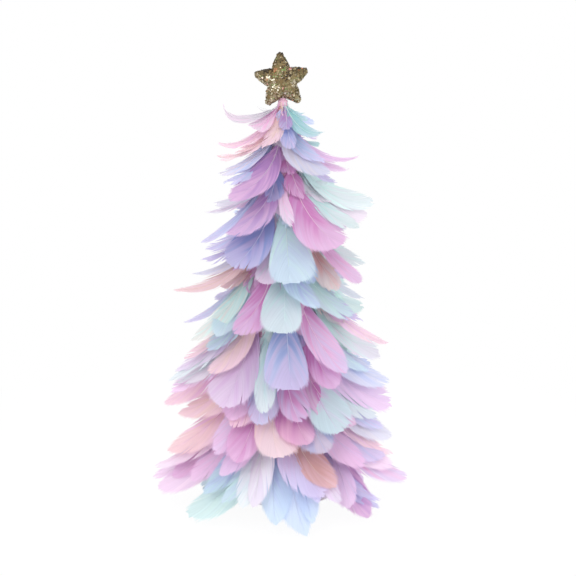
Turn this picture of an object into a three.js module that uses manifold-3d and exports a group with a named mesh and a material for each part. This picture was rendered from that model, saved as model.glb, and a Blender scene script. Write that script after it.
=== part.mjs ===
// A table-top feather tree: a foam cone on a round board, ringed from foot to tip by rows of
// curled feathers, with a glitter star on a stick that lifts out of the cone and turns.
//
// Units are millimetres. +Z is up, the origin is the middle of the board's underside, and the
// star's front looks along -Y.

import * as THREE from 'three';
import { mergeVertices } from 'three/addons/utils/BufferGeometryUtils.js';
import Module from 'manifold-3d';

const wasm = await Module();
wasm.setup();

// Clearances between separate pieces.
const SEAT_GAP = 0.3;
const BORE_CLEARANCE = 0.35;
const FLOOR_CLEARANCE = 0.8;
const CUT_OVERRUN = 2;

// The board under the cone.
const BOARD_RADIUS = 52;
const BOARD_THICKNESS = 3;
const BOARD_BEVEL = 0.8;

// The foam cone.
const CONE_HEIGHT = 337.5;
const CONE_FOOT_RADIUS = 55;
const CONE_TOP_RADIUS = 5.8;

// The wrapped neck that stands on the cone, round the stick.
const NECK_HEIGHT = 20;
const NECK_FOOT_RADIUS = 5;
const NECK_TOP_RADIUS = 3;

// The stick that carries the star.
const STICK_RADIUS = 1.5;
const STICK_DEPTH_IN_CONE = 45;
const STICK_DEPTH_IN_STAR = 12;

// The star, puffed like a cushion with a ridge along each arm.
const STAR_TIP_RADIUS = 24;
const STAR_VALLEY_RADIUS = 13.1;
const STAR_TIP_ROUND = 3;
const STAR_THICKNESS = 13;
const STAR_RIM_THICKNESS = 1.6;
const STAR_ROLL_DEGREES = 4;

// The tape that each row of feathers is glued to.
const TAPE_WIDTH = 5;
const TAPE_THICKNESS = 0.8;
const ROW_PITCH = 12.9;
const ROW_CROWDING_SHARE = 0.25;
const TOP_ROW_MARGIN = 1.8;

// The feathers. They shorten and flatten from the lowest row to the highest.
const LOW_FEATHER_LENGTH = 94;
const LOW_FEATHER_WIDTH = 37;
const TOP_FEATHER_LENGTH = 58;
const TOP_FEATHER_WIDTH = 21;
const QUILL_WIDTH = 2.8;
const FEATHER_THICKNESS = 1.2;
const LOW_ROOT_PITCH_DEGREES = 64;
const LOW_TIP_PITCH_DEGREES = 18;
const TOP_ROOT_PITCH_DEGREES = 58;
const TOP_TIP_PITCH_DEGREES = -8;

// How much steeper they hang in front, where they lie flat on the rows below. The lowest row, which
// would reach the floor, hangs alike all round, and the rows above it take this up step by step.
const FRONT_ROOT_DROP_DEGREES = 4;
const FRONT_TIP_DROP_DEGREES = 24;
const ROWS_TO_FULL_DROP = 6;

// How far a feather at either side rolls along its length, so that its broad face turns to the front.
// The lowest row doesn't roll, and the rows above it take this up step by step too.
const SIDE_ROLL_DEGREES = 18;

// How far one feather differs from the next.
const LENGTH_SPREAD_SHARE = 0.11;
const SIDE_BEND_SHARE = 0.16;
const TURN_SPREAD_SHARE = 0.06;
const TILT_SPREAD_DEGREES = 1.5;
const CURL_SPREAD_DEGREES = 7;
const SIDE_ROOM_SHARE = 0.36;
const FEWEST_FEATHERS = 5;

// A feather's blade: where its sections stand along it, and how wide and thick each one is.
const SECTION_LENGTH_SHARES = [0.16, 0.38, 0.62, 0.84, 0.96];
const SECTION_WIDTH_SHARES = [0.34, 0.84, 1, 0.88, 0.48];
const SECTION_THICKNESS_SHARES = [0.9, 0.8, 0.65, 0.5, 0.4];
const CUP_SHARE = 0.035;
const TIGHTEST_SECTION = 1;

// Ratios whose multiples never repeat, which spread the feathers without a visible pattern.
const LENGTH_RATIO_SHARE = 0.618034;
const BEND_RATIO_SHARE = 0.414214;
const TURN_RATIO_SHARE = 0.732051;
const TILT_RATIO_SHARE = 0.236068;
const CURL_RATIO_SHARE = 0.86602;
const SERIALS_A_ROW = 37;

// Facet counts.
const ROUND_FACETS = 32;
const STICK_FACETS = 12;
const STAR_ARMS = 5;
const TAPE_STEPS_A_GAP = 2;

// Heights of the seats, from the floor up.
const CONE_FOOT_Z = BOARD_THICKNESS + SEAT_GAP;
const CONE_TOP_Z = CONE_FOOT_Z + CONE_HEIGHT;
const NECK_FOOT_Z = CONE_TOP_Z + SEAT_GAP;
const NECK_TOP_Z = NECK_FOOT_Z + NECK_HEIGHT;

const FINISHES = {
  board: { color: 0xeee9ea, roughness: 0.9, metalness: 0 },
  foam: { color: 0xe9e2ea, roughness: 0.85, metalness: 0 },
  neck: { color: 0xdfa3bb, roughness: 0.8, metalness: 0 },
  stick: { color: 0xcdb08a, roughness: 0.7, metalness: 0 },
  glitter: { color: 0xa8915f, roughness: 0.35, metalness: 0.6 },
  pink: { color: 0xf0bfe0, roughness: 0.75, metalness: 0 },
  blue: { color: 0xb2bde6, roughness: 0.75, metalness: 0 },
  lilac: { color: 0xcaa6d2, roughness: 0.75, metalness: 0 },
  mint: { color: 0xc4e4e4, roughness: 0.75, metalness: 0 },
  peach: { color: 0xf1d0d0, roughness: 0.75, metalness: 0 },
  white: { color: 0xe2dbe6, roughness: 0.75, metalness: 0 },
};
const ROW_COLOURS = ['pink', 'mint', 'blue', 'lilac', 'peach', 'blue', 'pink', 'white', 'mint', 'lilac'];

function finish(name) {
  return new THREE.MeshStandardMaterial(FINISHES[name]);
}

function radians(degrees) {
  return THREE.MathUtils.degToRad(degrees);
}

function mix(low, high, share) {
  return THREE.MathUtils.lerp(low, high, share);
}

// A value from -1 to 1 that wanders as the serial number grows.
function wander(serial, ratioShare) {
  return 2 * ((serial * ratioShare) % 1) - 1;
}

// A closed solid that is put together from shared corners.
class ClosedSolid {
  constructor() {
    this.corners = [];
    this.faces = [];
  }

  corner(x, y, z) {
    this.corners.push(x, y, z);
    return this.corners.length / 3 - 1;
  }

  // A corner given by its distance from the tree's axis, its turn round it and its height.
  aroundAxis(radius, turn, height) {
    return this.corner(radius * Math.cos(turn), radius * Math.sin(turn), height);
  }

  triangle(a, b, c) {
    this.faces.push(a, b, c);
  }

  quad(a, b, c, d) {
    this.triangle(a, b, c);
    this.triangle(a, c, d);
  }

  geometry() {
    const shape = new THREE.BufferGeometry();
    shape.setAttribute('position', new THREE.Float32BufferAttribute(this.corners, 3));
    shape.setIndex(this.faces);
    shape.computeVertexNormals();
    return shape;
  }
}

function solidOf(geometry) {
  const bare = geometry.clone();
  bare.deleteAttribute('normal');
  bare.deleteAttribute('uv');
  const merged = mergeVertices(bare);
  return new wasm.Manifold(new wasm.Mesh({
    numProp: 3,
    vertProperties: new Float32Array(merged.attributes.position.array),
    triVerts: new Uint32Array(merged.index.array),
  }));
}

function geometryOf(solid) {
  const mesh = solid.getMesh();
  const shape = new THREE.BufferGeometry();
  shape.setAttribute('position', new THREE.BufferAttribute(mesh.vertProperties, 3));
  shape.setIndex(new THREE.BufferAttribute(mesh.triVerts, 1));
  shape.computeVertexNormals();
  return shape;
}

// A solid of revolution about the tree's axis, from its [radius, height] corners.
function turned(profile, facets = ROUND_FACETS) {
  const points = profile.map(([radius, height]) => new THREE.Vector2(radius, height));
  return new THREE.LatheGeometry(points, facets).rotateX(Math.PI / 2);
}

// The board that the tree stands on.
function board() {
  const profile = [
    [0, 0],
    [BOARD_RADIUS - BOARD_BEVEL, 0],
    [BOARD_RADIUS, BOARD_BEVEL],
    [BOARD_RADIUS, BOARD_THICKNESS],
    [0, BOARD_THICKNESS],
  ];
  const mesh = new THREE.Mesh(turned(profile), finish('board'));
  mesh.name = 'base_board';
  return mesh;
}

// The foam cone, with a blind hole down its axis for the stick.
function foamCone() {
  const boreRadius = STICK_RADIUS + BORE_CLEARANCE;
  const boreFloor = CONE_HEIGHT - STICK_DEPTH_IN_CONE - SEAT_GAP;
  const profile = [
    [0, 0],
    [CONE_FOOT_RADIUS, 0],
    [CONE_TOP_RADIUS, CONE_HEIGHT],
    [boreRadius, CONE_HEIGHT],
    [boreRadius, boreFloor],
    [0, boreFloor],
  ];
  const mesh = new THREE.Mesh(turned(profile), finish('foam'));
  mesh.name = 'foam_cone';
  mesh.position.z = CONE_FOOT_Z;
  return mesh;
}

// The wrapped sleeve between the cone and the star, open right through for the stick.
function neck() {
  const boreRadius = STICK_RADIUS + BORE_CLEARANCE;
  const profile = [
    [boreRadius, 0],
    [NECK_FOOT_RADIUS, 0],
    [NECK_TOP_RADIUS, NECK_HEIGHT],
    [boreRadius, NECK_HEIGHT],
    [boreRadius, 0],
  ];
  const mesh = new THREE.Mesh(turned(profile, STICK_FACETS * 2), finish('neck'));
  mesh.name = 'wrapped_neck';
  mesh.position.z = NECK_FOOT_Z;
  return mesh;
}

// How far below the star's middle the neck's rim meets the lower arm that the roll brings down.
// The valley between the two lower arms stays on the stick.
function starSeatDrop() {
  const halfArmAngle = Math.PI / STAR_ARMS;
  const fall = STAR_TIP_RADIUS * Math.cos(halfArmAngle) - STAR_VALLEY_RADIUS;
  const spread = STAR_TIP_RADIUS * Math.sin(halfArmAngle);
  const roll = radians(STAR_ROLL_DEGREES);
  const slope = Math.atan2(fall, spread) + roll;
  return STAR_VALLEY_RADIUS * Math.cos(roll) + NECK_TOP_RADIUS * Math.tan(slope);
}

const STAR_MIDDLE_Z = NECK_TOP_Z + SEAT_GAP + starSeatDrop();
const STICK_FOOT_Z = CONE_TOP_Z - STICK_DEPTH_IN_CONE;
const STICK_TOP_Z = STAR_MIDDLE_Z - STAR_VALLEY_RADIUS + STICK_DEPTH_IN_STAR;

function stick() {
  const length = STICK_TOP_Z - STICK_FOOT_Z;
  const shape = new THREE.CylinderGeometry(STICK_RADIUS, STICK_RADIUS, length, STICK_FACETS);
  const mesh = new THREE.Mesh(shape.rotateX(Math.PI / 2), finish('stick'));
  mesh.name = 'star_stick';
  mesh.position.z = STICK_FOOT_Z + length / 2;
  return mesh;
}

// The star's outline, arm by arm: a valley, then three points round the blunt tip.
function starOutline() {
  const outline = [];
  const armStep = (2 * Math.PI) / STAR_ARMS;
  for (let arm = 0; arm < STAR_ARMS; arm += 1) {
    const tipTurn = Math.PI / 2 + arm * armStep;
    const valleyTurn = tipTurn - armStep / 2;
    const valley = new THREE.Vector2(Math.cos(valleyTurn), Math.sin(valleyTurn));
    const along = new THREE.Vector2(Math.cos(tipTurn), Math.sin(tipTurn));
    const across = new THREE.Vector2(-along.y, along.x);
    const shoulder = along.clone().multiplyScalar(STAR_TIP_RADIUS - STAR_TIP_ROUND);
    outline.push(valley.multiplyScalar(STAR_VALLEY_RADIUS));
    outline.push(shoulder.clone().addScaledVector(across, -STAR_TIP_ROUND));
    outline.push(along.clone().multiplyScalar(STAR_TIP_RADIUS));
    outline.push(shoulder.clone().addScaledVector(across, STAR_TIP_ROUND));
  }
  return outline;
}

// The puffed star, as rings of its outline that draw in and swell towards the middle of each face.
const STAR_RING_SHARES = [1, 0.84, 0.46];
const STAR_SWELL_SHARES = [0, 0.6, 0.9];

function starBlank() {
  const solid = new ClosedSolid();
  const outline = starOutline();
  const rimHalf = STAR_RIM_THICKNESS / 2;
  const swell = STAR_THICKNESS / 2 - rimHalf;
  const sides = [1, -1].map((side) => {
    const rings = STAR_RING_SHARES.map((ringShare, ring) => {
      const y = -side * (rimHalf + swell * STAR_SWELL_SHARES[ring]);
      return outline.map((point) => solid.corner(point.x * ringShare, y, point.y * ringShare));
    });
    const middle = solid.corner(0, -side * (rimHalf + swell), 0);
    return { rings, middle };
  });
  const [front, back] = sides;
  outline.forEach((unused, here) => {
    const next = (here + 1) % outline.length;
    for (let ring = 0; ring + 1 < STAR_RING_SHARES.length; ring += 1) {
      const outer = front.rings[ring];
      const inner = front.rings[ring + 1];
      solid.quad(outer[here], outer[next], inner[next], inner[here]);
      const outerBack = back.rings[ring];
      const innerBack = back.rings[ring + 1];
      solid.quad(outerBack[next], outerBack[here], innerBack[here], innerBack[next]);
    }
    const lastFront = front.rings.at(-1);
    const lastBack = back.rings.at(-1);
    solid.triangle(lastFront[here], lastFront[next], front.middle);
    solid.triangle(lastBack[next], lastBack[here], back.middle);
    const rimFront = front.rings[0];
    const rimBack = back.rings[0];
    solid.quad(rimFront[next], rimFront[here], rimBack[here], rimBack[next]);
  });
  const roll = radians(STAR_ROLL_DEGREES);
  return solid.geometry().rotateY(-roll).translate(-STAR_VALLEY_RADIUS * Math.sin(roll), 0, 0);
}

// The star with its blind hole, cut from below along the stick.
function star() {
  const boreTop = STICK_TOP_Z + SEAT_GAP - STAR_MIDDLE_Z;
  const boreFoot = -STAR_TIP_RADIUS - CUT_OVERRUN;
  const boreLength = boreTop - boreFoot;
  const boreRadius = STICK_RADIUS + BORE_CLEARANCE;
  const bore = new THREE.CylinderGeometry(boreRadius, boreRadius, boreLength, STICK_FACETS);
  bore.rotateX(Math.PI / 2).translate(0, 0, boreFoot + boreLength / 2);
  const shape = geometryOf(solidOf(starBlank()).subtract(solidOf(bore)));
  const mesh = new THREE.Mesh(shape, finish('glitter'));
  mesh.name = 'glitter_star';
  mesh.position.z = STAR_MIDDLE_Z;
  return mesh;
}

// A point on a feather's shaft, which bends in one arc from its root pitch to its tip pitch.
function shaftPoint(feather, share) {
  const turn = feather.tipPitch - feather.rootPitch;
  const pitch = feather.rootPitch + turn * share;
  const arcRadius = feather.length / turn;
  return {
    out: arcRadius * (Math.sin(pitch) - Math.sin(feather.rootPitch)),
    drop: arcRadius * (Math.cos(feather.rootPitch) - Math.cos(pitch)),
    pitch,
  };
}

// The sizes that the feathers of a row share, by the row's place from the lowest to the highest.
function rowFeather(placeShare) {
  return {
    length: mix(LOW_FEATHER_LENGTH, TOP_FEATHER_LENGTH, placeShare),
    width: mix(LOW_FEATHER_WIDTH, TOP_FEATHER_WIDTH, placeShare),
    rootPitch: radians(mix(LOW_ROOT_PITCH_DEGREES, TOP_ROOT_PITCH_DEGREES, placeShare)),
    tipPitch: radians(mix(LOW_TIP_PITCH_DEGREES, TOP_TIP_PITCH_DEGREES, placeShare)),
  };
}

// One feather of a row, with its own length, bend, turn, tilt and curl.
function oneFeather(row, common, serial, seatTurn, turnStep) {
  const tilt = radians(TILT_SPREAD_DEGREES) * wander(serial, TILT_RATIO_SHARE);
  const curl = radians(CURL_SPREAD_DEGREES) * wander(serial, CURL_RATIO_SHARE);
  const turn = seatTurn + turnStep * TURN_SPREAD_SHARE * wander(serial, TURN_RATIO_SHARE);
  const hang = row.hangShare * Math.max(0, -Math.sin(row.turn + turn));
  return {
    length: common.length * (1 + LENGTH_SPREAD_SHARE * wander(serial, LENGTH_RATIO_SHARE)),
    width: common.width,
    rootPitch: common.rootPitch + tilt + hang * radians(FRONT_ROOT_DROP_DEGREES),
    tipPitch: common.tipPitch + tilt + curl + hang * radians(FRONT_TIP_DROP_DEGREES),
    bend: common.length * SIDE_BEND_SHARE * wander(serial, BEND_RATIO_SHARE),
    turn,
    roll: radians(SIDE_ROLL_DEGREES) * row.hangShare * Math.cos(row.turn + turn),
  };
}

// The height of the lowest row's tape, so that its longest feather still clears the floor.
function lowestRowZ() {
  const steepest = rowFeather(0);
  steepest.length *= 1 + LENGTH_SPREAD_SHARE;
  steepest.rootPitch += radians(TILT_SPREAD_DEGREES);
  steepest.tipPitch += radians(TILT_SPREAD_DEGREES + CURL_SPREAD_DEGREES);
  const cup = steepest.width * CUP_SHARE;
  return shaftPoint(steepest, 1).drop + cup + FLOOR_CLEARANCE + TAPE_WIDTH / 2;
}

function coneRadiusAt(z) {
  return mix(CONE_FOOT_RADIUS, CONE_TOP_RADIUS, (z - CONE_FOOT_Z) / CONE_HEIGHT);
}

function neckRadiusAt(z) {
  return mix(NECK_FOOT_RADIUS, NECK_TOP_RADIUS, (z - NECK_FOOT_Z) / NECK_HEIGHT);
}

// How many feathers stand side by side in a row without crossing.
function feathersInRow(common, seatRadius) {
  const tightest = shaftPoint(common, SECTION_LENGTH_SHARES[TIGHTEST_SECTION]);
  const ring = 2 * Math.PI * (seatRadius + tightest.out);
  const room = common.width * SECTION_WIDTH_SHARES[TIGHTEST_SECTION] * (1 + SIDE_ROOM_SHARE);
  return Math.max(FEWEST_FEATHERS, Math.floor(ring / room));
}

// The four corners of the tape's section at one turn round the axis.
function tapeCorners(solid, tape, turn) {
  const half = TAPE_WIDTH / 2;
  return {
    innerTop: solid.aroundAxis(tape.topRadius, turn, half),
    outerTop: solid.aroundAxis(tape.topRadius + TAPE_THICKNESS, turn, half),
    outerFoot: solid.aroundAxis(tape.footRadius + TAPE_THICKNESS, turn, -half),
    innerFoot: solid.aroundAxis(tape.footRadius, turn, -half),
  };
}

// A stretch of tape between two turns. Its underside stays open where a quill leaves it.
function tapeStretch(solid, here, next, isOpenBelow) {
  solid.quad(here.innerTop, here.outerTop, next.outerTop, next.innerTop);
  solid.quad(here.outerFoot, next.outerFoot, next.outerTop, here.outerTop);
  solid.quad(here.innerFoot, here.innerTop, next.innerTop, next.innerFoot);
  if (!isOpenBelow) {
    solid.quad(here.innerFoot, next.innerFoot, next.outerFoot, here.outerFoot);
  }
}

// One section of a feather's blade: the underside's middle, the right edge, the top's middle and
// the left edge. The edges lie lower than the middle, so the blade is cupped.
function bladeSection(solid, feather, tape, section) {
  const share = SECTION_LENGTH_SHARES[section];
  const point = shaftPoint(feather, share);
  const width = feather.width * SECTION_WIDTH_SHARES[section];
  const halfThickness = (FEATHER_THICKNESS * SECTION_THICKNESS_SHARES[section]) / 2;
  const cup = width * CUP_SHARE;
  const middleRadius = tape.footRadius + TAPE_THICKNESS / 2;
  const outward = Math.sin(point.pitch);
  const upward = Math.cos(point.pitch);
  const roll = feather.roll * share;
  const place = (above, beside) => {
    const rise = above * Math.cos(roll) + beside * Math.sin(roll);
    const aside = beside * Math.cos(roll) - above * Math.sin(roll);
    const radius = middleRadius + point.out + rise * outward;
    const turn = feather.turn + (feather.bend * share * share + aside) / radius;
    return solid.aroundAxis(radius, turn, -TAPE_WIDTH / 2 - point.drop + rise * upward);
  };
  return [
    place(-halfThickness, 0),
    place(-cup, width / 2),
    place(halfThickness, 0),
    place(-cup, -width / 2),
  ];
}

// The neck of a feather, from the quill's four corners on the tape to the first blade section.
function joinQuill(solid, quill, blade) {
  for (let side = 0; side < quill.length; side += 1) {
    const next = (side + 1) % quill.length;
    solid.triangle(quill[side], quill[next], blade[side]);
    solid.triangle(quill[next], blade[next], blade[side]);
  }
}

// The blade between two sections. Its top and underside are split along the same diagonals.
function joinSections(solid, near, far) {
  const [under, right, top, left] = near;
  const [farUnder, farRight, farTop, farLeft] = far;
  solid.triangle(under, right, farRight);
  solid.triangle(under, farRight, farUnder);
  solid.triangle(right, top, farRight);
  solid.triangle(top, farTop, farRight);
  solid.triangle(top, left, farLeft);
  solid.triangle(top, farLeft, farTop);
  solid.triangle(left, under, farLeft);
  solid.triangle(under, farUnder, farLeft);
}

function closeTip(solid, blade, feather, tape) {
  const point = shaftPoint(feather, 1);
  const radius = tape.footRadius + TAPE_THICKNESS / 2 + point.out;
  const tip = solid.aroundAxis(radius, feather.turn + feather.bend / radius, -TAPE_WIDTH / 2 - point.drop);
  blade.forEach((corner, side) => {
    solid.triangle(corner, blade[(side + 1) % blade.length], tip);
  });
}

function addFeather(solid, feather, tape, here, next) {
  const quill = [here.innerFoot, next.innerFoot, next.outerFoot, here.outerFoot];
  const blades = SECTION_LENGTH_SHARES.map((unused, section) => bladeSection(solid, feather, tape, section));
  joinQuill(solid, quill, blades[0]);
  for (let section = 0; section + 1 < blades.length; section += 1) {
    joinSections(solid, blades[section], blades[section + 1]);
  }
  closeTip(solid, blades.at(-1), feather, tape);
}

// A row: one ring of tape seated round its carrier, with its feathers growing from the tape's edge.
function featherRow(row) {
  const solid = new ClosedSolid();
  const common = rowFeather(row.placeShare);
  const seatRadius = row.radiusAt(row.z);
  const count = feathersInRow(common, seatRadius);
  const turnStep = (2 * Math.PI) / count;
  const halfQuillTurn = Math.asin(QUILL_WIDTH / 2 / (seatRadius + TAPE_THICKNESS));
  const widestGap = turnStep * (1 + 2 * TURN_SPREAD_SHARE) - 2 * halfQuillTurn;
  const flatShare = Math.cos(Math.max(widestGap / TAPE_STEPS_A_GAP, 2 * halfQuillTurn) / 2);
  const tape = {
    topRadius: (row.radiusAt(row.z + TAPE_WIDTH / 2) + SEAT_GAP) / flatShare,
    footRadius: (row.radiusAt(row.z - TAPE_WIDTH / 2) + SEAT_GAP) / flatShare,
  };
  const feathers = [];
  for (let index = 0; index < count; index += 1) {
    const serial = row.serial * SERIALS_A_ROW + index + 1;
    feathers.push(oneFeather(row, common, serial, index * turnStep, turnStep));
  }
  const quillSides = feathers.map((feather) => [
    tapeCorners(solid, tape, feather.turn - halfQuillTurn),
    tapeCorners(solid, tape, feather.turn + halfQuillTurn),
  ]);
  feathers.forEach((feather, index) => {
    const [here, next] = quillSides[index];
    tapeStretch(solid, here, next, true);
    addFeather(solid, feather, tape, here, next);
    const isLast = index + 1 === count;
    const following = feathers[(index + 1) % count];
    const gapStart = feather.turn + halfQuillTurn;
    const gapEnd = following.turn - halfQuillTurn + (isLast ? 2 * Math.PI : 0);
    let previous = next;
    for (let step = 1; step < TAPE_STEPS_A_GAP; step += 1) {
      const corners = tapeCorners(solid, tape, mix(gapStart, gapEnd, step / TAPE_STEPS_A_GAP));
      tapeStretch(solid, previous, corners, false);
      previous = corners;
    }
    tapeStretch(solid, previous, quillSides[(index + 1) % count][0], false);
  });
  const mesh = new THREE.Mesh(solid.geometry(), finish(row.colour));
  mesh.name = row.name;
  mesh.position.z = row.z;
  mesh.rotation.z = row.turn;
  return mesh;
}

// Every row's place: the rows on the cone draw closer together towards its top, and two more
// stand on the neck.
function rowPlans() {
  const lowZ = lowestRowZ();
  const topZ = CONE_TOP_Z - TOP_ROW_MARGIN - TAPE_WIDTH / 2;
  const steps = Math.max(1, Math.round((topZ - lowZ) / ROW_PITCH));
  const crownZs = [
    NECK_FOOT_Z + TOP_ROW_MARGIN + TAPE_WIDTH / 2,
    NECK_TOP_Z - TOP_ROW_MARGIN - TAPE_WIDTH / 2,
  ];
  const placeOf = (z) => (z - lowZ) / (crownZs.at(-1) - lowZ);
  const plans = [];
  for (let step = 0; step <= steps; step += 1) {
    const share = step / steps;
    const z = mix(lowZ, topZ, share + ROW_CROWDING_SHARE * share * (1 - share));
    plans.push({
      name: `feather_row_${String(step + 1).padStart(2, '0')}`,
      z,
      radiusAt: coneRadiusAt,
      placeShare: placeOf(z),
    });
  }
  crownZs.forEach((z, index) => {
    plans.push({ name: `crown_row_${index + 1}`, z, radiusAt: neckRadiusAt, placeShare: placeOf(z) });
  });
  return plans.map((plan, serial) => {
    const colour = ROW_COLOURS[serial % ROW_COLOURS.length];
    const turn = 2 * Math.PI * ((serial * LENGTH_RATIO_SHARE) % 1);
    const hangShare = Math.min(1, serial / ROWS_TO_FULL_DROP);
    return { ...plan, serial, colour, turn, hangShare };
  });
}

const tree = new THREE.Group();
tree.add(board(), foamCone(), neck());
rowPlans().forEach((row) => tree.add(featherRow(row)));
const topper = new THREE.Group();
topper.add(stick(), star());
tree.add(topper);

export default tree;
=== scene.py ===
"""A table-top feather tree: pastel feathers in rows on a foam cone, under a glitter star.

Lengths are metres, +Z is up and the star's front looks along -Y. A turn round the tree is 0 towards
the viewer and grows towards +X.
"""

from __future__ import annotations

import logging
import math
import random
from collections.abc import Callable
from dataclasses import dataclass, field
from enum import Enum

import bpy
import numpy as np
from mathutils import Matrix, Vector

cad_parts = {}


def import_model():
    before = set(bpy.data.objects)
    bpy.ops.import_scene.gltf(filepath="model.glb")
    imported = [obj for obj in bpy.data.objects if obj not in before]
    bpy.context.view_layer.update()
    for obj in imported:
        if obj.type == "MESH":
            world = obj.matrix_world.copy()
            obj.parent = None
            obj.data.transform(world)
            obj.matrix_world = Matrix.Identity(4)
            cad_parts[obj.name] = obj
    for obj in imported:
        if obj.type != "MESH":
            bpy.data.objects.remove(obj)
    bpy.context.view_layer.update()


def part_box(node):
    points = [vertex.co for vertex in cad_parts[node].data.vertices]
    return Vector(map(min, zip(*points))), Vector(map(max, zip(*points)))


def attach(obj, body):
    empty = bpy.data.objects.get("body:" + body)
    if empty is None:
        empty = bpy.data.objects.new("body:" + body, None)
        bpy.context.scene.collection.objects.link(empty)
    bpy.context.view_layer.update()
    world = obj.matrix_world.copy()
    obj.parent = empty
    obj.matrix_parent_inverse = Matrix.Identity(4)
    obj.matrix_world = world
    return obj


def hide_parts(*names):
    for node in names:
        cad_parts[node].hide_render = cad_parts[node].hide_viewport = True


log = logging.getLogger("feather_tree")

MM = 0.001
PATTERN = "OFBake"

Material, Piece, Mesh = bpy.types.Material, bpy.types.Object, bpy.types.Mesh
Node, NodeTree, Socket = bpy.types.Node, bpy.types.NodeTree, bpy.types.NodeSocket
Array = np.ndarray
Pair = tuple[float, float]
Triple = tuple[float, float, float]
Colour = tuple[int, int, int]
# A second dye's colour and how strong it is.
Blush = tuple[float, float, float, float]
NO_BLUSH = (1.0, 1.0, 1.0, 0.0)
# The named values of a patch of skin, one for each point or one for all.
Values = dict[str, Array | float]
# A shaft's points, its direction, its side and its upper face's direction.
Frame = tuple[Array, Array, Array, Array]


class Body(Enum):
    """The three bodies that move on their own."""

    TREE = "tree"
    STICK = "stick"
    STAR = "star"


class Tint(Enum):
    """The six dyes of the feathers, named as the record's slots end."""

    PINK = "pink"
    LILAC = "lilac"
    BLUE = "blue"
    MINT = "mint"
    PEACH = "peach"
    WHITE = "white"


def mix(low: float, high: float, share: float) -> float:
    """Blend from low to high by a share from 0 to 1."""
    return low + (high - low) * share


def held(value: float, low: float, high: float) -> float:
    """Keep a value between a low and a high one."""
    return min(max(value, low), high)


def wander(serial: int, ratio: float) -> float:
    """A value from -1 to 1 that wanders as the serial number grows."""
    return 2.0 * ((serial * ratio) % 1.0) - 1.0


def linear(*parts: int) -> list[float]:
    """Turn a colour as seen on a screen, 0 to 255, into the linear one that shaders take."""
    shares = [part / 255.0 for part in parts]
    return [share / 12.92 if share <= 0.04045 else ((share + 0.055) / 1.055) ** 2.4 for share in shares]


def settle(piece: Piece, body: Body, slot: str, *nodes: str) -> None:
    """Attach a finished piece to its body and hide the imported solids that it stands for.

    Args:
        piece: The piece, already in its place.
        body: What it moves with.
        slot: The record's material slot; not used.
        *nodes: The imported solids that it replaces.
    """
    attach(piece, body.value)
    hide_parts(*nodes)
    log.info("%s: %d faces", piece.name, len(piece.data.polygons))


def new_object(name: str, data: bpy.types.ID) -> Piece:
    """Put a mesh, a lamp or a camera into the scene."""
    made = bpy.data.objects.new(name, data)
    bpy.context.scene.collection.objects.link(made)
    return made


def dressed(mesh: Mesh, places: Array, material: Material) -> Piece:
    """Give a mesh its flat pattern and its material, and put it into the scene.

    Args:
        mesh: The mesh, named as the piece is to be.
        places: Where the corners of its faces lie on the flat pattern.
        material: What it is made of.

    Returns:
        The new piece.
    """
    pattern = mesh.uv_layers.new(name=PATTERN)
    pattern.data.foreach_set("uv", places.astype(np.float32).ravel())
    mesh.materials.append(material)
    mesh.validate()
    return new_object(mesh.name, mesh)


def ray(turn: float) -> Array:
    """The direction of a turn on a plane."""
    return np.array([math.cos(turn), math.sin(turn)])


def on_axis(height: float) -> Triple:
    """The place on the tree's axis at a height."""
    return 0.0, 0.0, height


@dataclass(frozen=True)
class Eye:
    """The camera that took the photograph, as worked out from the ring of lowest feather tips."""

    aim: Vector = field(default_factory=lambda: Vector((4.5 * MM, 0.0, 190.6 * MM)))
    distance: float = 1086.0 * MM
    rise_degrees: float = 14.0
    lens: float = 75.0
    sensor: float = 36.0
    frame_px: float = 576.0

    @property
    def focal_px(self) -> float:
        """The focal length in pixels of the photograph."""
        return self.lens / self.sensor * self.frame_px

    @property
    def back(self) -> Vector:
        """The direction from the aim point to the camera."""
        rise = math.radians(self.rise_degrees)
        return Vector((0.0, -math.cos(rise), math.sin(rise)))

    def project(self, point: Vector) -> Pair:
        """The pixel of the photograph that a point falls on.

        Args:
            point: A place in the tree's frame.

        Returns:
            The pixel's x and y, counted from the top left.
        """
        rise = math.radians(self.rise_degrees)
        up = Vector((0.0, math.sin(rise), math.cos(rise)))
        reach = point - self.aim
        depth = self.distance - reach.dot(self.back)
        middle = self.frame_px / 2.0
        return (
            middle + self.focal_px * reach.x / depth,
            middle - self.focal_px * reach.dot(up) / depth,
        )

    def metres_per_px(self, point: Vector) -> float:
        """How much one pixel covers at a point's depth."""
        return (self.distance - (point - self.aim).dot(self.back)) / self.focal_px

    def build(self) -> None:
        """Make the camera and set it as the scene's own."""
        data = bpy.data.cameras.new("eye")
        data.lens = self.lens
        data.sensor_width = self.sensor
        camera = new_object("eye", data)
        camera.location = self.aim + self.back * self.distance
        camera.rotation_mode = "QUATERNION"
        camera.rotation_quaternion = (-self.back).to_track_quat("-Z", "Y")
        bpy.context.scene.camera = camera


def shader_group(name: str, inputs: dict[str, float | Triple], outputs: tuple[str, ...]) -> NodeTree:
    """Start a shader node group.

    Args:
        name: The group's name.
        inputs: Each input's name and usual value: a number, or three of them for a place.
        outputs: Each output's name. All of them are plain values.

    Returns:
        The group, with its input and output nodes placed.
    """
    group = bpy.data.node_groups.new(name, "ShaderNodeTree")
    for label, value in inputs.items():
        kind = "NodeSocketVector" if isinstance(value, tuple) else "NodeSocketFloat"
        socket = group.interface.new_socket(label, in_out="INPUT", socket_type=kind)
        socket.default_value = value
    for label in outputs:
        group.interface.new_socket(label, in_out="OUTPUT", socket_type="NodeSocketFloat")
    group.nodes.new("NodeGroupInput").name = "in"
    group.nodes.new("NodeGroupOutput").name = "out"
    return group


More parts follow.
